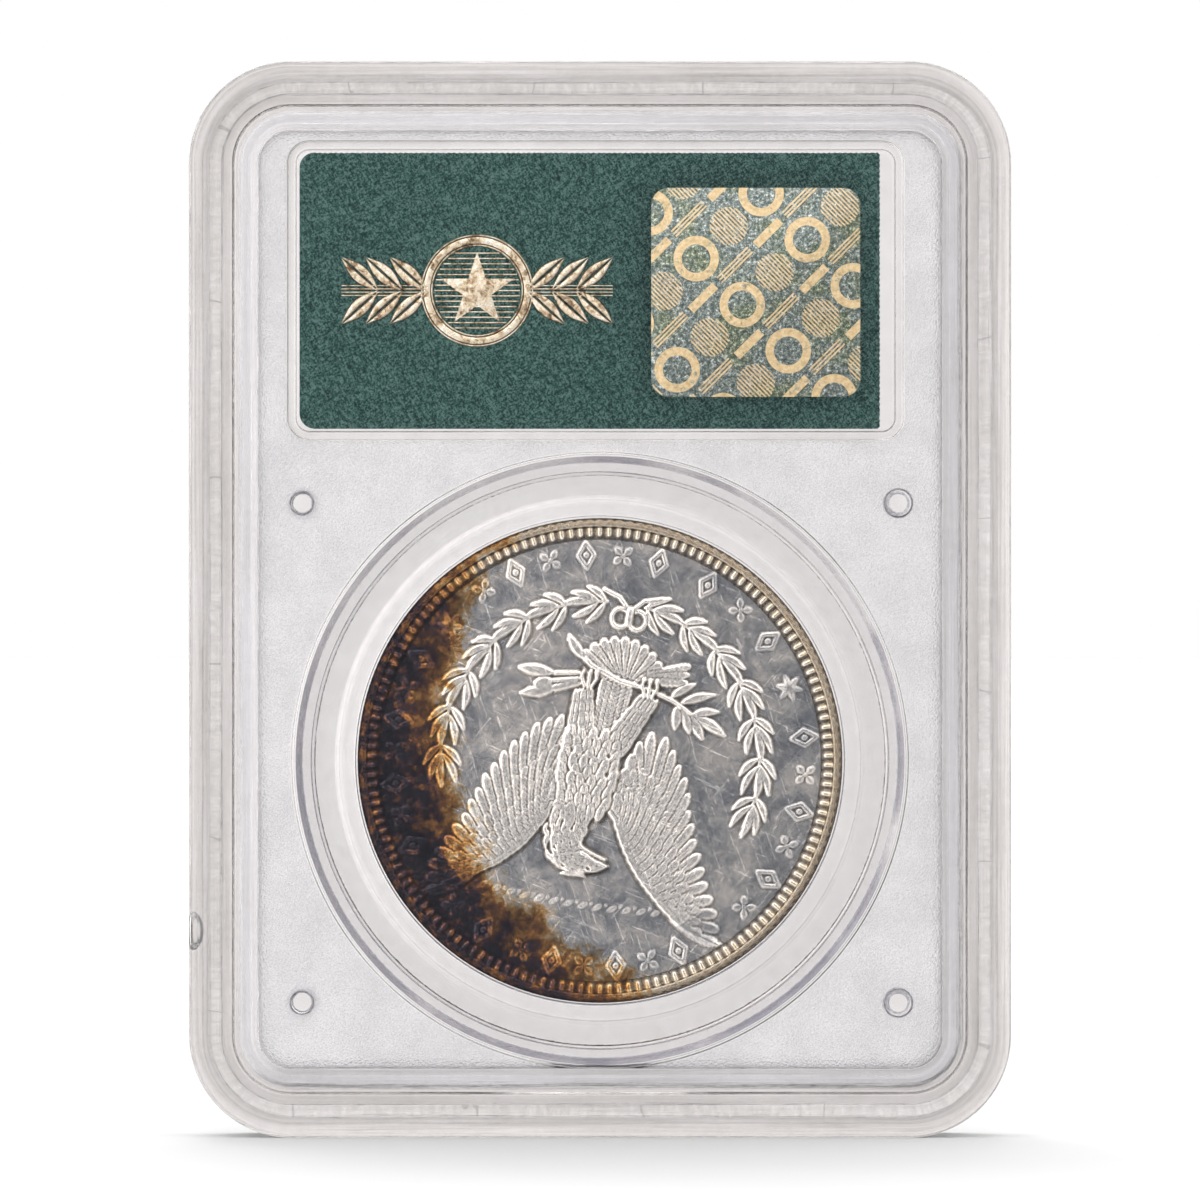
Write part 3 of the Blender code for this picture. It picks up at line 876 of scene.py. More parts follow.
def make_ring(plastic, edge_painted_shade):
    """The centring ring, turned from one closed profile of (radius, depth) corners."""
    bore = COIN_RADIUS + 0.15 * MM
    lip = RING_FACE - 0.2 * MM
    groove = RING_RADIUS - 1.35 * MM
    half = [
        (bore, lip, 0.12 * MM),
        (bore + 1.3 * MM, lip, 0.1 * MM),
        (bore + 1.6 * MM, RING_FACE, 0.1 * MM),
        (groove - 0.15 * MM, RING_FACE, 0),
        (groove, RING_FACE - 0.25 * MM, 0.05 * MM),
        (groove + 0.15 * MM, RING_FACE, 0),
        (RING_RADIUS - 0.5 * MM, RING_FACE, 0.1 * MM),
        (RING_RADIUS, RING_FACE - 0.5 * MM, 0.1 * MM),
    ]
    corners = [(radius, -depth, rounding) for radius, depth, rounding in half] + half[::-1]
    bm = bmesh.new()
    path = rounded_path(corners, closed=True)
    loops = [add_loop(bm, circle(radius, z=RING_CENTRE_Z), depth) for radius, depth in path]
    add_walls(bm, loops, closed=True)
    # Faces round the outer edge take the second material, a painted shade.
    for face in bm.faces:
        middle = face.calc_center_median()
        if math.hypot(middle.x, middle.z - RING_CENTRE_Z) > RING_RADIUS - 0.55 * MM:
            face.material_index = 1
    return make_piece("centring_ring", bm, [plastic, edge_painted_shade])


def ring_edge_painted_shade():
    """The ring's outer edge, a violet-grey painted shade that is darker low down."""
    g = new_material("ring_edge_painted_shade_polystyrene")
    place = g.coordinates()
    drift = g.noise(place, 0.12, detail=3)
    grain = g.noise(place, 3.0, detail=4, roughness=0.7)
    shade = g.weighted((drift, 0.92), (grain, 0.08))
    # Painted shade: the edge is drawn lighter above the ring's centre and darker below it.
    upper = g.over(g.minus(g.split(place)["Z"], RING_CENTRE_Z / MM), RING_RADIUS / MM)
    shade = g.plus(shade, g.ramp(upper, (0.0, 0.0), (0.35, 0.14)))
    colour = g.ramp(
        shade,
        (0.40, (0.16, 0.155, 0.20)),
        (0.55, (0.27, 0.265, 0.31)),
        (0.68, (0.62, 0.61, 0.64)),
    )
    return g.set(Base_Color=colour, Roughness=0.12, **POLYSTYRENE, Normal=g.bump(grain, 0.03))


# ---------------------------------------------------------------- label, emblem and sticker

TOOTH_PITCH = 0.42 * MM
TOOTH_DEPTH = 0.09 * MM
CARD_ROUND_CORNER = 1.2 * MM
CARD_CUT_CORNER = 0.2 * MM
FOIL_RELIEF = 0.12 * MM
FOIL_RING_WIDTH = 0.95 * MM
FOIL_STEM_WIDTH = 0.9 * MM
LEAF_LENGTH = 3.9 * MM
LEAF_WIDTH = 1.35 * MM
LEAF_ANGLE = math.radians(42)
LEAF_PAIRS = 3
STICKER_CORNER = 1.4 * MM


def card_outline():
    """Round corners at the left; the top and right edges end in the teeth of a perforation."""
    left, low = CARD_LOW[0], CARD_LOW[2]
    right, high = CARD_HIGH[0], CARD_HIGH[2]
    random = np.random.default_rng(3)

    def torn(start, end):
        count = int(abs(end - start) / TOOTH_PITCH) * 2
        places = np.linspace(start, end, count + 1)[1:-1]
        teeth = np.where(np.arange(len(places)) % 2, 0.0, TOOTH_DEPTH)
        return zip(places, teeth * random.uniform(0.5, 1.0, len(places)))

    def corner(x, z, first):
        return [
            (x + CARD_ROUND_CORNER * math.cos(turn), z + CARD_ROUND_CORNER * math.sin(turn))
            for turn in np.linspace(first, first + math.pi / 2, 12)
        ]

    cut = CARD_CUT_CORNER
    points = [(right - cut, low), (right, low + cut)]
    points += [(right - depth, z) for z, depth in torn(low + cut, high - cut)]
    points += [(right, high - cut), (right - cut, high)]
    points += [(x, high - depth) for x, depth in torn(right - cut, left + CARD_ROUND_CORNER)]
    points += corner(left + CARD_ROUND_CORNER, high - CARD_ROUND_CORNER, math.pi / 2)
    points += corner(left + CARD_ROUND_CORNER, low + CARD_ROUND_CORNER, math.pi)
    return np.array(points)


def make_label(card, print_face):
    bm = bmesh.new()
    outline = card_outline()
    rear = add_loop(bm, outline, CARD_LOW[1])
    front = add_loop(bm, outline, CARD_HIGH[1])
    add_walls(bm, [rear, front])
    bm.faces.new(rear)
    bm.faces.new(front).material_index = 1
    return make_piece("printed_label", bm, [card, print_face])


# Place across a ridge and share of its height there
RIDGE_PROFILE = ((0.0, 0.0), (0.1, 0.65), (0.3, 1.0), (0.7, 1.0), (0.9, 0.65), (1.0, 0.0))


def add_ridge(bm, left, right, base_y, crest):
    """A strip between two point rows, raised to a flat crest; its steep sides take the edge material, a
    painted shade.
    """
    rows = []
    for share, lift in RIDGE_PROFILE:
        y = base_y - crest * lift
        points = np.array(left) * (1 - share) + np.array(right) * share
        rows.append([bm.verts.new((x, y, z)) for x, z in points])
    for strip, (row, after) in enumerate(zip(rows, rows[1:])):
        for index in range(len(row) - 1):
            face = bm.faces.new((row[index], row[index + 1], after[index + 1], after[index]))
            # The steep side strips take the second material, which paints them as shade.
            face.material_index = int(strip in (0, len(RIDGE_PROFILE) - 2))


def make_emblem(foil, edge):
    """An embossed star in a ring between two leafy sprigs, with a stem of four fine lines."""
    bm = bmesh.new()
    base_y = CARD_LOW[1] - 0.02 * MM
    centre_x = (FOIL_LOW[0] + FOIL_HIGH[0]) / 2
    centre_z = (FOIL_LOW[2] + FOIL_HIGH[2]) / 2
    ring_radius = (FOIL_HIGH[2] - FOIL_LOW[2]) / 2
    half_width = (FOIL_HIGH[0] - FOIL_LOW[0]) / 2

    def place(points):
        return [(centre_x + x, centre_z + z) for x, z in points]

    def arc(radius, first=0.0, last=2 * math.pi, steps=96):
        return [(radius * math.cos(t), radius * math.sin(t)) for t in np.linspace(first, last, steps)]

    # Ring: a broad flat band between two raised beads
    middle = ring_radius - FOIL_RING_WIDTH / 2
    bead = 0.16 * MM
    for outer, inner, crest in (
        (ring_radius, ring_radius - bead, FOIL_RELIEF),
        (ring_radius - bead, ring_radius - FOIL_RING_WIDTH + bead, FOIL_RELIEF * 0.55),
        (ring_radius - FOIL_RING_WIDTH + bead, ring_radius - FOIL_RING_WIDTH, FOIL_RELIEF),
    ):
        add_ridge(bm, place(arc(inner)), place(arc(outer)), base_y, crest)
    # Hatched disc behind the star
    hole = ring_radius - FOIL_RING_WIDTH
    for line in range(-7, 8):
        z = line * 0.42 * MM
        reach = math.sqrt(max(hole**2 - z**2, 0)) - 0.12 * MM
        if reach > 0:
            low = [(x, z - 0.07 * MM) for x in np.linspace(-reach, reach, 8)]
            high = [(x, z + 0.07 * MM) for x in np.linspace(-reach, reach, 8)]
            add_ridge(bm, place(low), place(high), base_y, FOIL_RELIEF * 0.4)
    # Faceted star
    outer = hole - 0.45 * MM
    inner = outer * math.sin(math.pi / 10) / math.sin(math.pi * 7 / 10)
    tips = []
    for step in range(10):
        reach = inner if step % 2 else outer
        turn = math.pi / 2 + math.pi * step / 5
        x, z = centre_x + reach * math.cos(turn), centre_z + reach * math.sin(turn)
        tips.append(bm.verts.new((x, base_y - FOIL_RELIEF * 0.3, z)))
    peak = bm.verts.new((centre_x, base_y - FOIL_RELIEF * 1.6, centre_z))
    for tip, after in zip(tips, tips[1:] + tips[:1]):
        bm.faces.new((tip, after, peak))
    # Stem of four fine lines
    line_width = FOIL_STEM_WIDTH / 7
    for line in range(4):
        z = -FOIL_STEM_WIDTH / 2 + 2 * line * line_width
        for side in (-1, 1):
            reach = np.linspace(side * middle, side * half_width, 12)
            low = [(x, z) for x in reach]
            high = [(x, z + line_width) for x in reach]
            add_ridge(bm, place(low), place(high), base_y, FOIL_RELIEF * 0.7)
    # Leaves, each in two halves that meet in a sunk midrib
    leaf_reach = LEAF_LENGTH * math.cos(LEAF_ANGLE)
    spacing = (half_width - leaf_reach - middle) / (LEAF_PAIRS - 1)
    shares = np.linspace(0, 1, 14)[:, None]
    for pair in range(LEAF_PAIRS):
        for side in (-1, 1):
            for lean in (-1, 1):
                root = (side * (middle + pair * spacing), 0)
                along = np.array((side * math.cos(LEAF_ANGLE), lean * math.sin(LEAF_ANGLE)))
                across = np.array((-along[1], along[0]))
                for half in (-1, 1):
                    spine = root + along * LEAF_LENGTH * shares
                    swell = np.sin(np.pi * shares) + 0.03
                    margin = spine + across * half * LEAF_WIDTH / 2 * swell
                    spine = spine + across * half * 0.03 * MM
                    add_ridge(bm, place(spine), place(margin), base_y, FOIL_RELIEF)
    # The edge material is a painted shade on the ridges' steep sides.
    return make_piece("stamped_emblem", bm, [foil, edge], sharp_degrees=60)


def make_sticker(film):
    """A thin square of film with round corners and a softened edge."""
    low_x, low_z = STICKER_LOW[0], STICKER_LOW[2]
    high_x, high_z = STICKER_HIGH[0], STICKER_HIGH[2]
    edge = (
        (0.0, STICKER_HIGH[1]),
        (0.0, STICKER_LOW[1] + 0.05 * MM),
        (0.02 * MM, STICKER_LOW[1] + 0.015 * MM),
        (0.06 * MM, STICKER_LOW[1]),
    )
    layers = []
    for inset, y in edge:
        radius = STICKER_CORNER - inset
        outline = rectangle(low_x + inset, high_x - inset, low_z + inset, high_z - inset, radius)
        layers.append((outline, y))
    bm = bmesh.new()
    first = add_loft(bm, layers, cap_slot=0)
    bm.faces.new(first)
    return make_piece("hologram", bm, [film])


# ---------------------------------------------------------------- coin relief

# Sizes in this section are in millimetres, with (u, v) upright on the coin's face
RELIEF_STEP = 0.05
RELIEF_REACH = 19.1
FIELD_RADIUS = 17.3
REAR_CELLS = 300
FRONT_CELLS = 150
DENTILS = 150
REEDS = 200
REED_DEPTH = 0.07
RIM_HEIGHT = 0.22
RIM_INNER = 18.24
RIM_OUTER = 18.66
# Radii of the loops between the field and the edge, over the teeth and the rim
RIM_LOOPS = (
    17.38, 17.44, 17.5, 17.56, 17.64, 17.74, 17.86, 17.98, 18.1,
    18.2, 18.27, 18.33, 18.45, 18.6, 18.72, 18.85, 18.95,
)
TOOTH_END = 17.76
TOOTH_HEIGHT = 0.18
TOOTH_RADIUS = 0.29
GROOVE_WIDTH = 0.06
BARB_PITCH = 0.36
COIN_TURN = math.radians(170.4)
BORDER_RADIUS = 14.4
BORDER_FROST = 0.2
ORNAMENT_HEIGHT = 0.055
CREST_ROUNDS = 20
CREST_SPAN = 0.07


def along_curve(points, share):
    """The point at a share of the way along a polyline."""
    points = np.array(points, float)
    lengths = np.linalg.norm(np.diff(points, axis=0), axis=1)
    reach = np.concatenate([[0], np.cumsum(lengths)]) / lengths.sum()
    return np.array([np.interp(share, reach, points[:, 0]), np.interp(share, reach, points[:, 1])])


def direction_at(degrees):
    return np.array([math.cos(math.radians(degrees)), math.sin(math.radians(degrees))])


class Relief:
    """A struck design as a height map: smooth masses, with fine detail laid over them."""

    def __init__(self):
        steps = np.arange(-RELIEF_REACH, RELIEF_REACH, RELIEF_STEP)
        self.u, self.v = np.meshgrid(steps, steps, indexing="ij")
        self.mass = np.zeros_like(self.u)
        self.detail = np.zeros_like(self.u)

    def window(self, points, margin):
        """The part of the map within a margin of some points."""
        low = (np.min(points, axis=0) - margin + RELIEF_REACH) / RELIEF_STEP
        high = (np.max(points, axis=0) + margin + RELIEF_REACH) / RELIEF_STEP
        return tuple(slice(max(0, int(a)), max(0, int(b) + 1)) for a, b in zip(low, high))

    def lay(self, window, inside, height):
        self.detail[window] = np.where(inside, height, self.detail[window])

    def dome(self, centre, long_radius, short_radius, degrees, height):
        """A smooth mass shaped like half an ellipsoid."""
        window = self.window([centre], max(long_radius, short_radius))
        du, dv = self.u[window] - centre[0], self.v[window] - centre[1]
        along = direction_at(degrees)
        a = (du * along[0] + dv * along[1]) / long_radius
        b = (dv * along[0] - du * along[1]) / short_radius
        rise = height * np.sqrt(np.clip(1 - a**2 - b**2, 0, 1))
        self.mass[window] = np.maximum(self.mass[window], rise)

    def blade(self, base, tip, width, level, rise, bend=0.0, blunt=0.0, barb=0.0):
        """A leaf (blunt 0) or a feather (blunt 1) with a groove along its middle and fine barbs."""
        base, tip = np.array(base, float), np.array(tip, float)
        length = np.linalg.norm(tip - base)
        along = (tip - base) / length
        window = self.window([base, tip], width + abs(bend) * length)
        du, dv = self.u[window] - base[0], self.v[window] - base[1]
        t = (du * along[0] + dv * along[1]) / length
        held = np.clip(t, 0, 1)
        across = dv * along[0] - du * along[1] - bend * length * np.sin(np.pi * held)
        leaf = np.sin(np.pi * held) ** 0.8
        rounded_end = np.sqrt(1 - np.clip((held - 0.8) / 0.2, 0, 1) ** 2)
        feather = np.sqrt(np.clip(8 * held, 0, 1)) * rounded_end
        half = np.maximum(width / 2 * (leaf * (1 - blunt) + feather * blunt), 1e-6)
        inside = (t > 0) & (t < 1) & (np.abs(across) < half)
        height = level + rise * np.sqrt(np.clip(1 - (across / half) ** 2, 0, 1))
        height -= 0.4 * rise * np.exp(-((across / GROOVE_WIDTH) ** 2))
        height += barb * np.cos(2 * np.pi * (t * length - 0.8 * np.abs(across)) / BARB_PITCH)
        self.lay(window, inside, height)

    def stroke(self, points, width, rise, level=0.0):
        """A round-backed line along a polyline."""
        points = np.array(points, float)
        window = self.window(points, width)
        u, v = self.u[window], self.v[window]
        nearest = np.full(u.shape, np.inf)
        for start, end in zip(points, points[1:]):
            arm = end - start
            du, dv = u - start[0], v - start[1]
            share = np.clip((du * arm[0] + dv * arm[1]) / (arm @ arm), 0, 1)
            nearest = np.minimum(nearest, np.hypot(du - share * arm[0], dv - share * arm[1]))
        height = level + rise * np.sqrt(np.clip(1 - (2 * nearest / width) ** 2, 0, 1))
        self.lay(window, nearest < width / 2, height)

    def star(self, centre, points, outer, inner, turn, rise):
        """A faceted star."""
        window = self.window([centre], outer)
        du, dv = self.u[window] - centre[0], self.v[window] - centre[1]
        angle = np.arctan2(dv, du) - math.radians(turn)
        folded = np.abs((angle * points / (2 * np.pi) + 0.5) % 1 - 0.5) * 2 * np.pi / points
        x, z = np.hypot(du, dv) * np.cos(folded), np.hypot(du, dv) * np.sin(folded)
        corner = inner * direction_at(180 / points)
        edge = corner - np.array([outer, 0])
        gap = ((x - outer) * edge[1] - z * edge[0]) / np.linalg.norm(edge)
        self.lay(window, gap < 0, rise * np.clip(0.25 - gap / outer * 2.5, 0, 1))

    def ring(self, centre, radius, width, rise):
        window = self.window([centre], radius + width)
        gap = np.abs(np.hypot(self.u[window] - centre[0], self.v[window] - centre[1]) - radius)
        height = rise * np.sqrt(np.clip(1 - (2 * gap / width) ** 2, 0, 1))
        self.lay(window, gap < width / 2, height)

    def heights(self):
        """The finished map in millimetres, slightly softened as metal that flowed into a die."""
        return np.clip(softened(self.mass + self.detail, 1), 0, RIM_HEIGHT)


def softened(heights, rounds):
    for _ in range(rounds):
        for axis in (0, 1):
            heights = (np.roll(heights, 1, axis) + 2 * heights + np.roll(heights, -1, axis)) / 4
    return heights


def sampled(values, u, v):
    """Reads a map between its grid points."""
    i = np.clip((u + RELIEF_REACH) / RELIEF_STEP, 0, len(values) - 1.001)
    j = np.clip((v + RELIEF_REACH) / RELIEF_STEP, 0, len(values) - 1.001)
    low_i, low_j = i.astype(int), j.astype(int)
    a, b = i - low_i, j - low_j
    top = values[low_i, low_j] * (1 - a) + values[low_i + 1, low_j] * a
    bottom = values[low_i, low_j + 1] * (1 - a) + values[low_i + 1, low_j + 1] * a
    return top * (1 - b) + bottom * b


# Each wing's leading edge, from the shoulder to the tip, and its trailing edge, from the body
LEFT_WING = (
    ((-1.5, 3.9), (-2.2, 4.6), (-2.8, 6.0), (-3.8, 7.5), (-4.9, 8.8), (-7.0, 10.7), (-9.1, 12.0),
     (-11.7, 12.8)),
    ((-1.8, 1.3), (-2.5, -1.4), (-3.2, -2.9), (-4.9, -2.9), (-6.0, -1.5), (-7.2, 0.7), (-8.0, 3.4),
     (-8.6, 5.2), (-10.1, 8.3), (-11.2, 10.4), (-11.7, 12.8)),
)
RIGHT_WING = (
    ((3.2, 3.9), (3.6, 5.2), (5.0, 7.5), (6.6, 9.1), (9.0, 10.7), (10.5, 11.7), (12.0, 12.5)),
    ((2.4, -0.3), (2.7, -2.9), (3.7, -3.6), (5.0, -2.7), (6.6, -1.1), (8.2, 1.3), (9.2, 3.3),
     (9.8, 5.4), (11.1, 7.8), (12.0, 9.9), (12.0, 12.5)),
)
# Rows of feathers as (reach, count, width, level, rise)
FEATHER_ROWS = (
    (1.0, 19, 1.1, 0.0, 0.085),
    (0.66, 18, 1.05, 0.025, 0.08),
    (0.45, 17, 0.95, 0.045, 0.075),
    (0.27, 16, 0.85, 0.065, 0.07),
)
# The eagle's neck, from the brow back down to the breast
NECK = ((-0.5, 8.35), (0.8, 8.25), (1.75, 7.5), (1.95, 6.3), (1.75, 5.0), (1.4, 3.8))
# Arrows as (start, neck of the head, tip)
ARROWS = (
    ((1.4, -6.2), (4.4, -4.9), (7.1, -4.2)),
    ((1.6, -6.4), (4.6, -5.6), (6.2, -5.1)),
    ((1.6, -6.7), (4.6, -6.2), (7.6, -6.2)),
)
OLIVE_STEM = ((-6.6, -4.6), (-5.0, -5.5), (-3.0, -6.1), (-0.5, -6.4), (2.0, -7.3), (3.9, -9.0))
# Olive leaves as (base, tip, width)
OLIVE_LEAVES = (
    ((-6.4, -4.7), (-9.4, -3.5), 0.9),
    ((-6.4, -4.7), (-8.6, -5.3), 0.7),
    ((-6.2, -4.7), (-7.7, -2.9), 0.85),
    ((-5.6, -5.2), (-6.6, -3.2), 0.8),
    ((-5.2, -5.3), (-5.4, -3.3), 0.8),
    ((-5.4, -5.4), (-8.1, -6.6), 0.75),
    ((-4.6, -5.7), (-6.4, -7.2), 0.7),
    ((2.4, -7.6), (4.1, -9.4), 0.8),
)


def draw_wing(relief, leading, trailing, random):
    """Flight feathers first, then rows of coverts that overlap them towards the leading edge."""
    for reach, count, width, level, rise in FEATHER_ROWS:
        for index in reversed(range(count)):
            share = (index + 0.5) / count
            root = along_curve(leading, 0.68 * share)
            end = along_curve(trailing, min(1.0, share + 0.5 / count))
            base = root + (end - root) * 0.02
            tip = base + (end - base) * reach * random.uniform(0.95, 1.0)
            bend = 0.05 * np.sign(end[0])
            relief.blade(base, tip, width, level, rise, bend=bend, blunt=0.8, barb=0.008)
    leading_line = [along_curve(leading, share) for share in np.linspace(0.0, 1.0, 24)]
    relief.stroke(leading_line, 0.45, 0.09, 0.03)
    for index in range(16):
        place = along_curve(leading, 0.05 + 0.05 * index)
        ahead = along_curve(leading, 0.11 + 0.05 * index)
        relief.blade(place, place + (ahead - place) * 1.3, 0.62, 0.09, 0.035, blunt=0.6)


def draw_tail_and_thighs(relief):
    """Long barred tail feathers that end in a fan, between two feathered thighs."""
    for step in range(9):
        turn = -90 + (step - 4) * 13.5
        root = np.array((-0.4, -6.0))
        relief.blade(root, root + 3.9 * direction_at(turn), 1.05, 0.02, 0.09, blunt=1.0, barb=0.008)
    for side in (-2, 2, -1, 1, 0):
        base, tip = (0.1 + 0.35 * side, -0.6), (-0.35 + 0.5 * side, -6.9)
        relief.blade(base, tip, 0.8, 0.03, 0.05, blunt=0.9, barb=0.018)
    for hip, ankle, lean in (((-0.6, -0.6), (-3.1, -5.6), -1), ((1.9, -1.2), (2.2, -5.4), 1)):
        hip, ankle = np.array(hip), np.array(ankle)
        for row in range(4):
            for strand in (-2, 2, -1, 1, 0):
                share = (3 - row) / 4.6
                place = hip * (1 - share) + ankle * share
                place = place + np.array((0.42 * strand * (1 - 0.5 * share), 0.1 * lean * strand))
                relief.blade(place, place + (ankle - hip) * 0.36, 0.62, 0.03, 0.12, blunt=0.3)


def draw_breast(relief, random):
    """Overlapping rows of small feathers, from the belly up to the shoulders."""
    for row in range(9):
        v = -2.0 + 0.74 * row
        half = 1.75 + 0.55 * math.sin(math.pi * (row + 1) / 9)
        count = 5 + row % 2
        for index in range(count):
            lean = (index - (count - 1) / 2) / count
            base = np.array((0.85 + 2 * half * lean, v + 1.0 - 0.5 * lean**2))
            tip = base + 1.55 * direction_at(-90 + 34 * lean + random.uniform(-4, 4))
            relief.blade(base, tip, 0.88, 0.02, 0.13, blunt=0.35)


def draw_head(relief, random):
    """Hackles from the breast up the neck and over to the brow, then the beak, eye and brow."""
    for row in reversed(range(13)):
        place = along_curve(NECK, 0.07 * row)
        along = along_curve(NECK, 0.07 * row + 0.06) - place
        along = along / np.linalg.norm(along)
        side_step = np.array((-along[1], along[0])) * (0.30 + 0.02 * min(row, 7))
        for strand in (-3, 3, -2, 2, -1, 1, 0):
            base = place - side_step * (strand + 0.5 * (row % 2))
            tip = base + along * random.uniform(1.1, 1.4)
            relief.blade(base, tip, 0.4, 0.02, 0.13, bend=random.uniform(-0.12, 0.12), blunt=0.1)
    relief.blade((0.0, 7.9), (-2.05, 8.15), 0.9, 0.09, 0.06, bend=-0.10)
    relief.stroke(((-1.95, 8.15), (-1.0, 7.85), (0.2, 7.4)), 0.2, 0.08, 0.1)
    relief.stroke(((-1.7, 7.65), (-0.7, 7.35), (0.45, 6.85)), 0.26, 0.09, 0.08)
    relief.ring((-0.35, 8.2), 0.17, 0.13, 0.16)
    relief.stroke(((-1.25, 8.62), (-0.55, 8.78), (0.2, 8.75)), 0.22, 0.07, 0.09)


def draw_body(relief, random):
    relief.dome((0.85, 1.2), 4.6, 2.5, 96, 0.06)
    relief.dome((1.8, 5.6), 3.0, 1.4, 98, 0.06)
    relief.dome((0.9, 7.9), 2.0, 1.1, -14, 0.06)
    draw_tail_and_thighs(relief)
    draw_breast(relief, random)
    draw_head(relief, random)


def draw_arrows(relief):
    for lift in (-0.9, 0.0, 0.9):
        base, tip = (-2.2, -6.9 + 0.2 * lift), (-5.8, -7.8 + 0.75 * lift)
        relief.blade(base, tip, 0.72, 0.03, 0.06, blunt=0.9, barb=0.012)
    for start, neck, tip in ARROWS:
        relief.stroke((start, neck), 0.36, 0.08, 0.02)
        relief.blade(neck, tip, 0.95, 0.03, 0.07)
    for step in range(6):
        base = np.array((2.6 + 0.5 * step, -6.1 + 0.2 * step))
        relief.blade(base, base + 0.9, 0.4, 0.05, 0.05)


def draw_branch(relief):
    """An olive branch, and the talons that grip it."""
    relief.stroke(OLIVE_STEM, 0.42, 0.09, 0.05)
    for base, tip, width in OLIVE_LEAVES:
        relief.blade(base, tip, width, 0.02, 0.075, bend=0.04)
    for u, v in ((-2.9, -5.6), (1.9, -5.6)):
        for toe in (-1, 0, 1):
            claw = ((u + 0.3 * toe, v), (u + 0.62 * toe, v - 0.65), (u + 0.5 * toe, v - 1.2))
            relief.stroke(claw, 0.34, 0.09, 0.1)


# Start along the branch, spread in degrees, length and width
LAUREL_LEAVES = (
    (0.0, -44, 2.1, 0.62),
    (0.1, 40, 2.2, 0.62),
    (0.5, -25, 2.6, 0.66),
    (0.7, 22, 2.5, 0.62),
    (0.9, -4, 2.7, 0.7),
)


def draw_wreath(relief, radius, first, last, clusters, random):
    """Two laurel branches that rise from the bottom, in clusters of five leaves."""
    for side in (-1, 1):
        turns = np.linspace(first, last, 40)
        relief.stroke([radius * direction_at(-90 + side * turn) for turn in turns], 0.26, 0.06)
        for cluster in range(clusters):
            turn = first + (last - first) * cluster / clusters
            root = radius * direction_at(-90 + side * turn)
            ahead = -90 + side * (turn + 90 + 9)
            for start, spread, length, width in LAUREL_LEAVES:
                base = root + start * direction_at(ahead)
                tip = base + length * random.uniform(0.92, 1.08) * direction_at(ahead + side * spread)
                relief.blade(base, tip, width, 0.01, 0.1, bend=0.07 * side * np.sign(spread))


def draw_bow(relief):
    middle, radius = -0.4, 0.75
    turns = np.linspace(0, 6.28, 16)
    for side in (-1, 1):
        u = side * (radius - radius * np.cos(turns)) * 0.9 + middle
        v = -11.3 + radius * np.sin(turns)
        relief.stroke(np.stack([u, v], 1), 0.36, 0.09)
        ribbon = ((middle, -11.9), (middle + side * 1.0, -12.9), (middle + side * 2.3, -13.3))
        relief.stroke(ribbon, 0.34, 0.08)
    relief.stroke(((middle, -11.0), (middle, -12.0)), 0.7, 0.12)


def draw_ornament(relief, turn, kind, radius, size):
    """A small device of the border: an open lozenge with a pellet, or a four-petal flower."""
    outwards = direction_at(turn)
    sideways = np.array((-outwards[1], outwards[0]))
    centre = radius * outwards
    if kind == 0:
        corners = [outwards * size, sideways * size * 0.62, -outwards * size, -sideways * size * 0.62]
        relief.stroke([centre + corner for corner in corners + corners[:1]], 0.34, ORNAMENT_HEIGHT)
        relief.stroke((centre, centre + 0.01 * outwards), 0.5, ORNAMENT_HEIGHT)
    else:
        for petal in range(4):
            reach = direction_at(turn + 45 + 90 * petal) * size * 0.95
            relief.blade(centre + 0.12 * reach, centre + reach, 0.55 * size, 0.0, ORNAMENT_HEIGHT)
        relief.stroke((centre, centre + 0.01 * outwards), 0.4, ORNAMENT_HEIGHT)


# Groups of border ornaments as (first, last) degrees and how many
BORDER_GROUPS = ((196, 144, 6), (122, 77, 6), (65, 54, 2), (34, -20, 7), (225, 248, 3), (263, 314, 6))


def draw_border(relief):
    for start, end, count in BORDER_GROUPS:
        for index in range(count):
            turn = start + (end - start) * index / (count - 1)
            draw_ornament(relief, turn, index % 2, 16.15, 1.0)
    for centre in ((-13.7, -8.1), (13.4, -8.5)):
        relief.star(centre, 6, 1.15, 0.6, 120, 0.09)


def rear_relief():
    """An eagle with raised wings on a branch and arrows, in a wreath."""
    relief = Relief()
    random = np.random.default_rng(5)
    draw_wreath(relief, 12.5, 7, 108, 7, random)
    draw_bow(relief)
    draw_border(relief)
    # A low row of leaves and pellets over the eagle
    for index in range(13):
        place = np.array((-6.3 + 1.15 * index, 11.1 + 0.35 * math.sin(index * math.pi / 12)))
        relief.blade(place - (0.38, 0.25), place + (0.38, 0.25), 0.42, 0.0, 0.035)
        relief.stroke((place + (0.5, -0.2), place + (0.51, -0.2)), 0.28, 0.03)
    for leading, trailing in (LEFT_WING, RIGHT_WING):
        draw_wing(relief, leading, trailing, random)
    draw_body(relief, random)
    draw_arrows(relief)
    draw_branch(relief)
    return relief


def front_relief():
    """A plain faceted star in a wreath, with small stars round the border."""
    relief = Relief()
    random = np.random.default_rng(8)
    draw_wreath(relief, 11.4, 7, 168, 11, random)
    draw_bow(relief)
    relief.ring((0, 0), 8.4, 0.3, 0.07)
    relief.star((0, 0), 5, 7.2, 2.75, 90, 0.2)
    for index in range(24):
        relief.star(15.6 * direction_at(15 * index), 5, 0.95, 0.4, 15 * index, 0.1)
    return relief


def disc_grid(radius, cells):
    """A square grid pressed into a disc without a pole; its rim points are evenly spaced."""
    a, b = np.meshgrid(np.linspace(-1, 1, cells + 1), np.linspace(-1, 1, cells + 1), indexing="ij")
    wide = np.abs(a) >= np.abs(b)
    reach = np.where(wide, a, b)
    held = np.where(reach == 0, 1, reach)
    angle = np.where(wide, np.pi / 4 * b / held, np.pi / 2 - np.pi / 4 * a / held)
    return radius * reach * np.cos(angle), radius * reach * np.sin(angle)


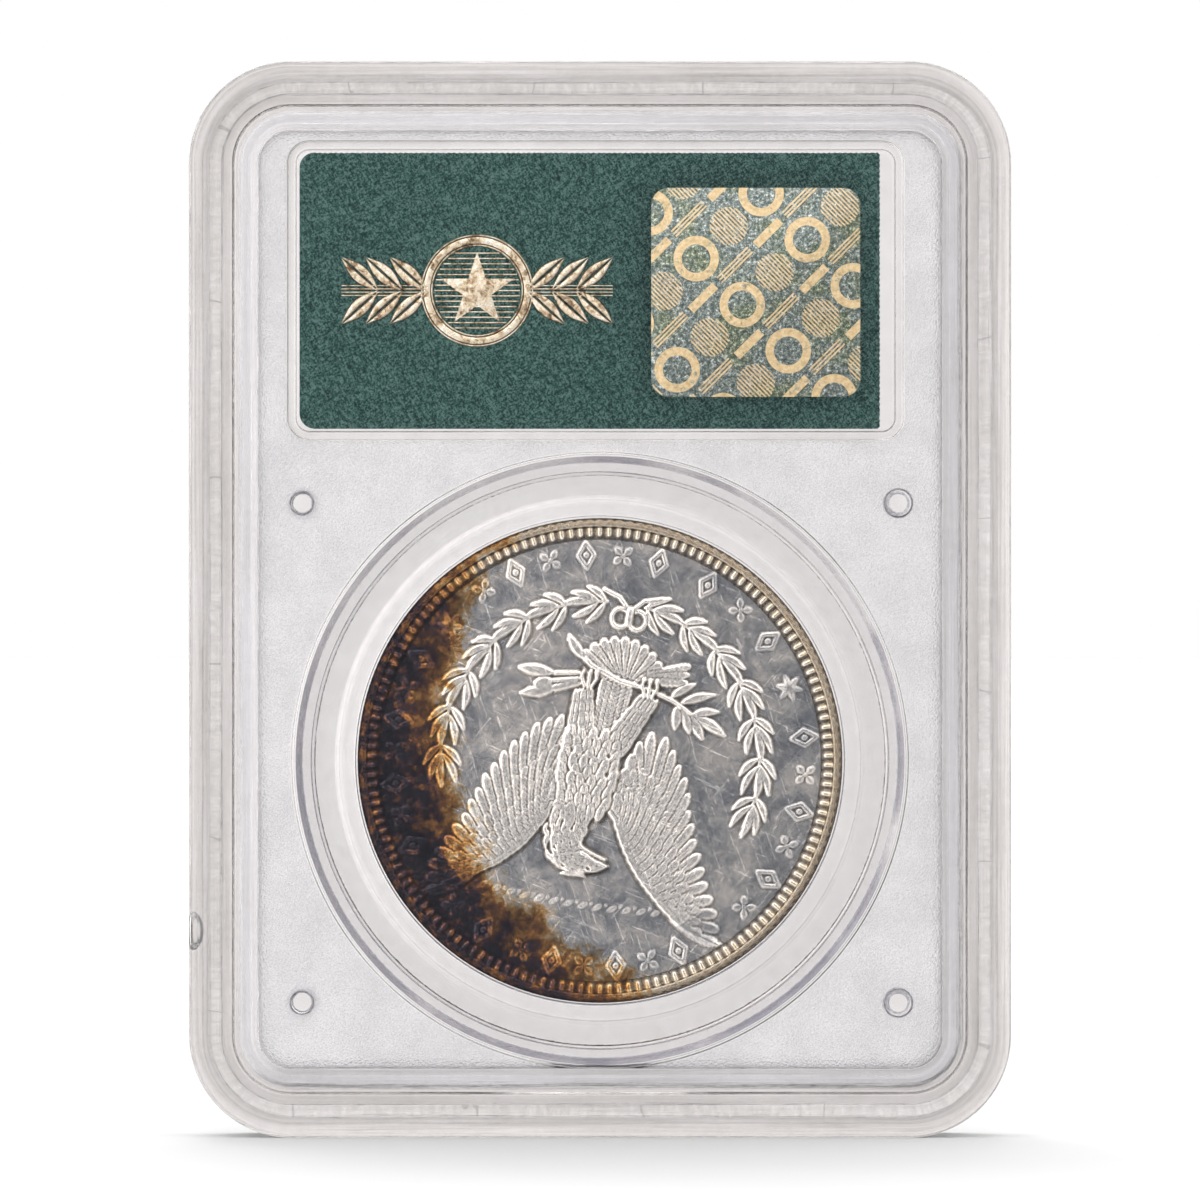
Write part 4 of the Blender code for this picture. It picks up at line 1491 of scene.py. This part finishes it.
def grid_rim(cells):
    """The grid's rim indices, counter-clockwise from -45 degrees."""
    size = cells + 1
    upward = np.arange(cells)
    downward = np.arange(cells, 0, -1)
    return np.concatenate([cells * size + upward, downward * size + cells, downward, upward * size])


def dentil_height(radius, angle):
    """Rounded teeth that run in from the raised rim."""
    phase = (angle * DENTILS / (2 * np.pi)) % 1 - 0.5
    across = phase * 2 * np.pi / DENTILS * radius
    inwards = np.clip(TOOTH_END - radius, 0, None)
    tooth = TOOTH_HEIGHT * np.sqrt(np.clip(1 - (across**2 + inwards**2) / TOOTH_RADIUS**2, 0, 1))
    rim = RIM_HEIGHT * np.clip((radius - RIM_INNER) / 0.1, 0, 1)
    fall = 1.6 * np.clip(radius - RIM_OUTER, 0, None) ** 2
    return np.maximum(tooth, rim - fall)


def rim_wear_and_shade(radius):
    """The flat of the rim is rubbed bright; its slopes get a lower value that paints them as shade."""
    return 0.42 if RIM_INNER + 0.1 < radius < RIM_OUTER else 0.22


def face_mesh(relief, side, cells, first):
    """One face as (vertices, relief share, faces, outermost loop), out to the edge bevel."""
    x, z = disc_grid(FIELD_RADIUS, cells)
    x, z = x.ravel(), z.ravel()
    turn = COIN_TURN if side == REAR else math.pi - COIN_TURN
    mirrored = 1 if side == REAR else -1
    u = mirrored * (x * math.cos(turn) + z * math.sin(turn))
    v = -x * math.sin(turn) + z * math.cos(turn)
    relief_map = relief.heights()
    heights = sampled(relief_map, u, v)
    crests = sampled(relief_map - softened(relief_map, CREST_ROUNDS), u, v)
    field = COIN_FACE / MM - RIM_HEIGHT
    vertices = [np.stack([x, side * (field + heights), z], 1)]
    frost = np.where(np.hypot(u, v) > BORDER_RADIUS, BORDER_FROST, 1.0)
    shares = [np.clip(heights / 0.03, 0, 1) * frost]
    # Painted shade: hollows in the relief get low values, which darken them in the material.
    wear_and_shade = [np.clip(0.5 + crests / CREST_SPAN, 0, 1)]
    size = cells + 1
    corner = (np.arange(cells)[:, None] * size + np.arange(cells)[None, :]).ravel() + first
    faces = [np.stack([corner, corner + size, corner + size + 1, corner + 1], 1)]
    loop = grid_rim(cells) + first
    steps = 4 * cells
    angles = np.arange(steps) * 2 * np.pi / steps - np.pi / 4
    base = first + size * size
    for radius in RIM_LOOPS:
        heights = dentil_height(radius, angles)
        depths = side * (field + heights)
        vertices.append(np.stack([radius * np.cos(angles), depths, radius * np.sin(angles)], 1))
        shares.append(np.clip(heights / 0.06, 0.3, 1))
        # Painted shade: the gaps between the teeth get low values, which darken them.
        tooth_gap_shade = np.clip(0.12 + heights / 0.2, 0, 1)
        wear_and_shade.append(tooth_gap_shade if radius < RIM_INNER else np.full(steps, rim_wear_and_shade(radius)))
        after = base + np.arange(steps)
        faces.append(np.stack([loop, after, np.roll(after, -1), np.roll(loop, -1)], 1))
        loop, base = after, base + steps
    if side == FRONT:
        faces = [face[:, ::-1] for face in faces]
    looks = np.stack([np.concatenate(shares), np.concatenate(wear_and_shade)], 1)
    return np.concatenate(vertices), looks, np.concatenate(faces), loop


def make_coin(silver):
    """The struck coin as one closed mesh: both faces and a reeded edge."""
    rear, rear_looks, rear_faces, rear_loop = face_mesh(rear_relief(), REAR, REAR_CELLS, 0)
    front_parts = face_mesh(front_relief(), FRONT, FRONT_CELLS, len(rear))
    front, front_looks, front_faces, front_loop = front_parts
    vertices, looks = [rear, front], [rear_looks, front_looks]
    steps = 4 * REAR_CELLS
    angles = np.arange(steps) * 2 * np.pi / steps - np.pi / 4
    reed = 0.5 - 0.5 * np.cos(REEDS * angles)
    face = COIN_FACE / MM
    edge_faces = []
    loop, base = rear_loop, len(rear) + len(front)
    for depth, bevel, reeding in (
        (-face + 0.2, 0.02, 0.0),
        (-face + 0.3, 0.0, REED_DEPTH),
        (face - 0.3, 0.0, REED_DEPTH),
        (face - 0.2, 0.02, 0.0),
    ):
        radius = COIN_RADIUS / MM - bevel - reeding * reed
        x, z = radius * np.cos(angles), radius * np.sin(angles)
        vertices.append(np.stack([x, np.full(steps, depth), z], 1))
        looks.append(np.full((steps, 2), (1.0, 0.3)))
        after = base + np.arange(steps)
        edge_faces.append(np.stack([loop, after, np.roll(after, -1), np.roll(loop, -1)], 1))
        loop, base = after, base + steps
    quads = np.concatenate([rear_faces, front_faces, *edge_faces])
    # The front face has half as many rim points, so five-sided faces close the last strip
    pairs = np.arange(0, steps, 2)
    closing = np.stack(
        [loop[pairs], front_loop, np.roll(front_loop, -1), loop[(pairs + 2) % steps], loop[pairs + 1]], 1
    )
    points = np.concatenate(vertices) * MM + (0, 0, RING_CENTRE_Z)
    mesh = bpy.data.meshes.new("struck_coin")
    mesh.from_pydata(points.tolist(), [], quads.tolist() + closing.tolist())
    # The 'wear' attribute carries rubbed wear and painted shade.
    for name, values in zip(("relief", "wear"), np.concatenate(looks).T):
        attribute = mesh.attributes.new(name, "FLOAT", "POINT")
        attribute.data.foreach_set("value", values.astype(np.float32))
    mesh.materials.append(silver)
    mesh.shade_smooth()
    coin = bpy.data.objects.new("struck_coin", mesh)
    bpy.context.scene.collection.objects.link(coin)
    return coin


# ---------------------------------------------------------------- stage, light and camera

CAMERA_LENS = 286.0
SENSOR_WIDTH = 36.0
VIEW_WIDTH = 94.4 * MM
VIEW_CENTRE_Z = 42.1 * MM
BACKDROP_LEVEL = 2.0
TENT_LEVEL = 3.1
AMBIENT_LEVEL = 1.06


def make_world():
    """A white studio with a soft-box tent: what is reflected, refracted and scattered differs."""
    world = bpy.data.worlds.new("studio")
    bpy.context.scene.world = world
    g = Graph(world)
    parts = g.split(g.node("ShaderNodeTexCoord").outputs["Generated"])
    x, z = parts["X"], parts["Z"]
    facing = g.math("ABSOLUTE", parts["Y"])

    def sloped(along_z, along_x, *stops):
        """A brightness that changes with height and from side to side."""
        slope = g.minus(g.times(z, along_z), g.times(x, along_x))
        return g.ramp(g.plus(g.times(slope, 0.5), 0.5), *stops)

    # Refracted light: white along the slab's axis and greyer off it, brighter towards -X
    backdrop = g.ramp(
        facing,
        (0.0, 0.44),
        (0.5, 0.56),
        (0.80, 0.73),
        (0.93, 0.87),
        (0.985, 0.97),
        (1.0, 1.0),
    )
    backdrop = g.tinted(backdrop, sloped(0.35, 0.9, (0.2, 0.47), (0.5, 0.50), (0.75, 0.74)))
    backdrop = g.tinted(backdrop, (BACKDROP_LEVEL,) * 3)
    # Reflected light: a bright ring round the axis, dark along it
    tent = g.ramp(
        facing,
        (0.0, 0.12),
        (0.4, 0.22),
        (0.66, 0.42),
        (0.74, 0.62),
        (0.82, 1.0),
        (0.93, 0.90),
        (0.97, (0.46, 0.465, 0.475)),
        (0.99, (0.16, 0.17, 0.185)),
        (0.998, (0.06, 0.065, 0.075)),
    )
    tent = g.tinted(tent, sloped(0.6, 0.45, (0.25, 0.16), (0.5, 0.76), (0.75, 1.0)))
    tent = g.tinted(tent, (TENT_LEVEL,) * 3)
    path = g.node("ShaderNodeLightPath").outputs
    mirrored = g.math("GREATER_THAN", path["Glossy Depth"], 0.5)
    scattered = g.math("GREATER_THAN", path["Diffuse Depth"], 0.5)
    colour = g.mix(mirrored, backdrop, tent)
    colour = g.mix(scattered, colour, (AMBIENT_LEVEL,) * 3)
    colour = g.mix(path["Is Camera Ray"], colour, (1.0, 1.0, 1.0))
    g.set(Color=colour)


def make_sun(name, direction, strength, degrees):
    """A distant soft light that shines along a direction."""
    data = bpy.data.lights.new(name, "SUN")
    data.energy = strength
    data.angle = math.radians(degrees)
    light = bpy.data.objects.new(name, data)
    light.rotation_euler = Vector(direction).to_track_quat("-Z", "Y").to_euler()
    light.visible_glossy = False
    light.visible_transmission = False
    bpy.context.scene.collection.objects.link(light)


def make_floor():
    g = new_material("pale_floor")
    grain = g.noise(g.coordinates(), 0.05, detail=2)
    g.set(Base_Color=g.ramp(grain, (0.3, 0.965), (0.7, 0.98)), Roughness=0.9)
    bm = bmesh.new()
    bmesh.ops.create_circle(bm, cap_ends=True, segments=64, radius=6.0)
    floor = make_piece("studio_floor", bm, [g.owner])
    floor.visible_glossy = False
    floor.visible_transmission = False


def make_camera():
    data = bpy.data.cameras.new("camera")
    data.lens = CAMERA_LENS
    data.sensor_width = SENSOR_WIDTH
    data.clip_start = 0.01
    camera = bpy.data.objects.new("camera", data)
    camera.location = (0, -VIEW_WIDTH * CAMERA_LENS / SENSOR_WIDTH, VIEW_CENTRE_Z)
    camera.rotation_euler = (math.pi / 2, 0, 0)
    bpy.context.scene.collection.objects.link(camera)
    bpy.context.scene.camera = camera


def make_studio():
    make_world()
    make_floor()
    make_camera()
    make_sun("key", (0.14, -0.8, -1.0), 0.7, 34)
    scene = bpy.context.scene
    scene.view_settings.view_transform = "Standard"
    scene.cycles.max_bounces = 20
    scene.cycles.transmission_bounces = 20
    scene.cycles.glossy_bounces = 8


make_studio()

case_looks = [polished_plastic(), frosted_plastic(), window_plastic(), weld_plastic(), post_wall_plastic()]
pieces = (
    (make_case_half("rear_case", REAR, case_looks), "rear_shell", "holder", "clear_case"),
    (make_case_half("front_case", FRONT, case_looks), "front_shell", "holder", "clear_case"),
    (make_ring(ring_plastic(), ring_edge_painted_shade()), "coin_ring", "holder", "ring_plastic"),
    (make_coin(toned_silver()), "coin", "coin", "toned_silver"),
    (make_label(green_card(), printed_face()), "label_card", "label", "green_card"),
    (make_emblem(gold_foil(), foil_edge_painted_shade()), "foil_emblem", "label", "gold_foil"),
    (make_sticker(hologram_film()), "security_sticker", "holder", "hologram_film"),
)
for piece, node, body, slot in pieces:
    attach(piece, body)
    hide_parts(node)
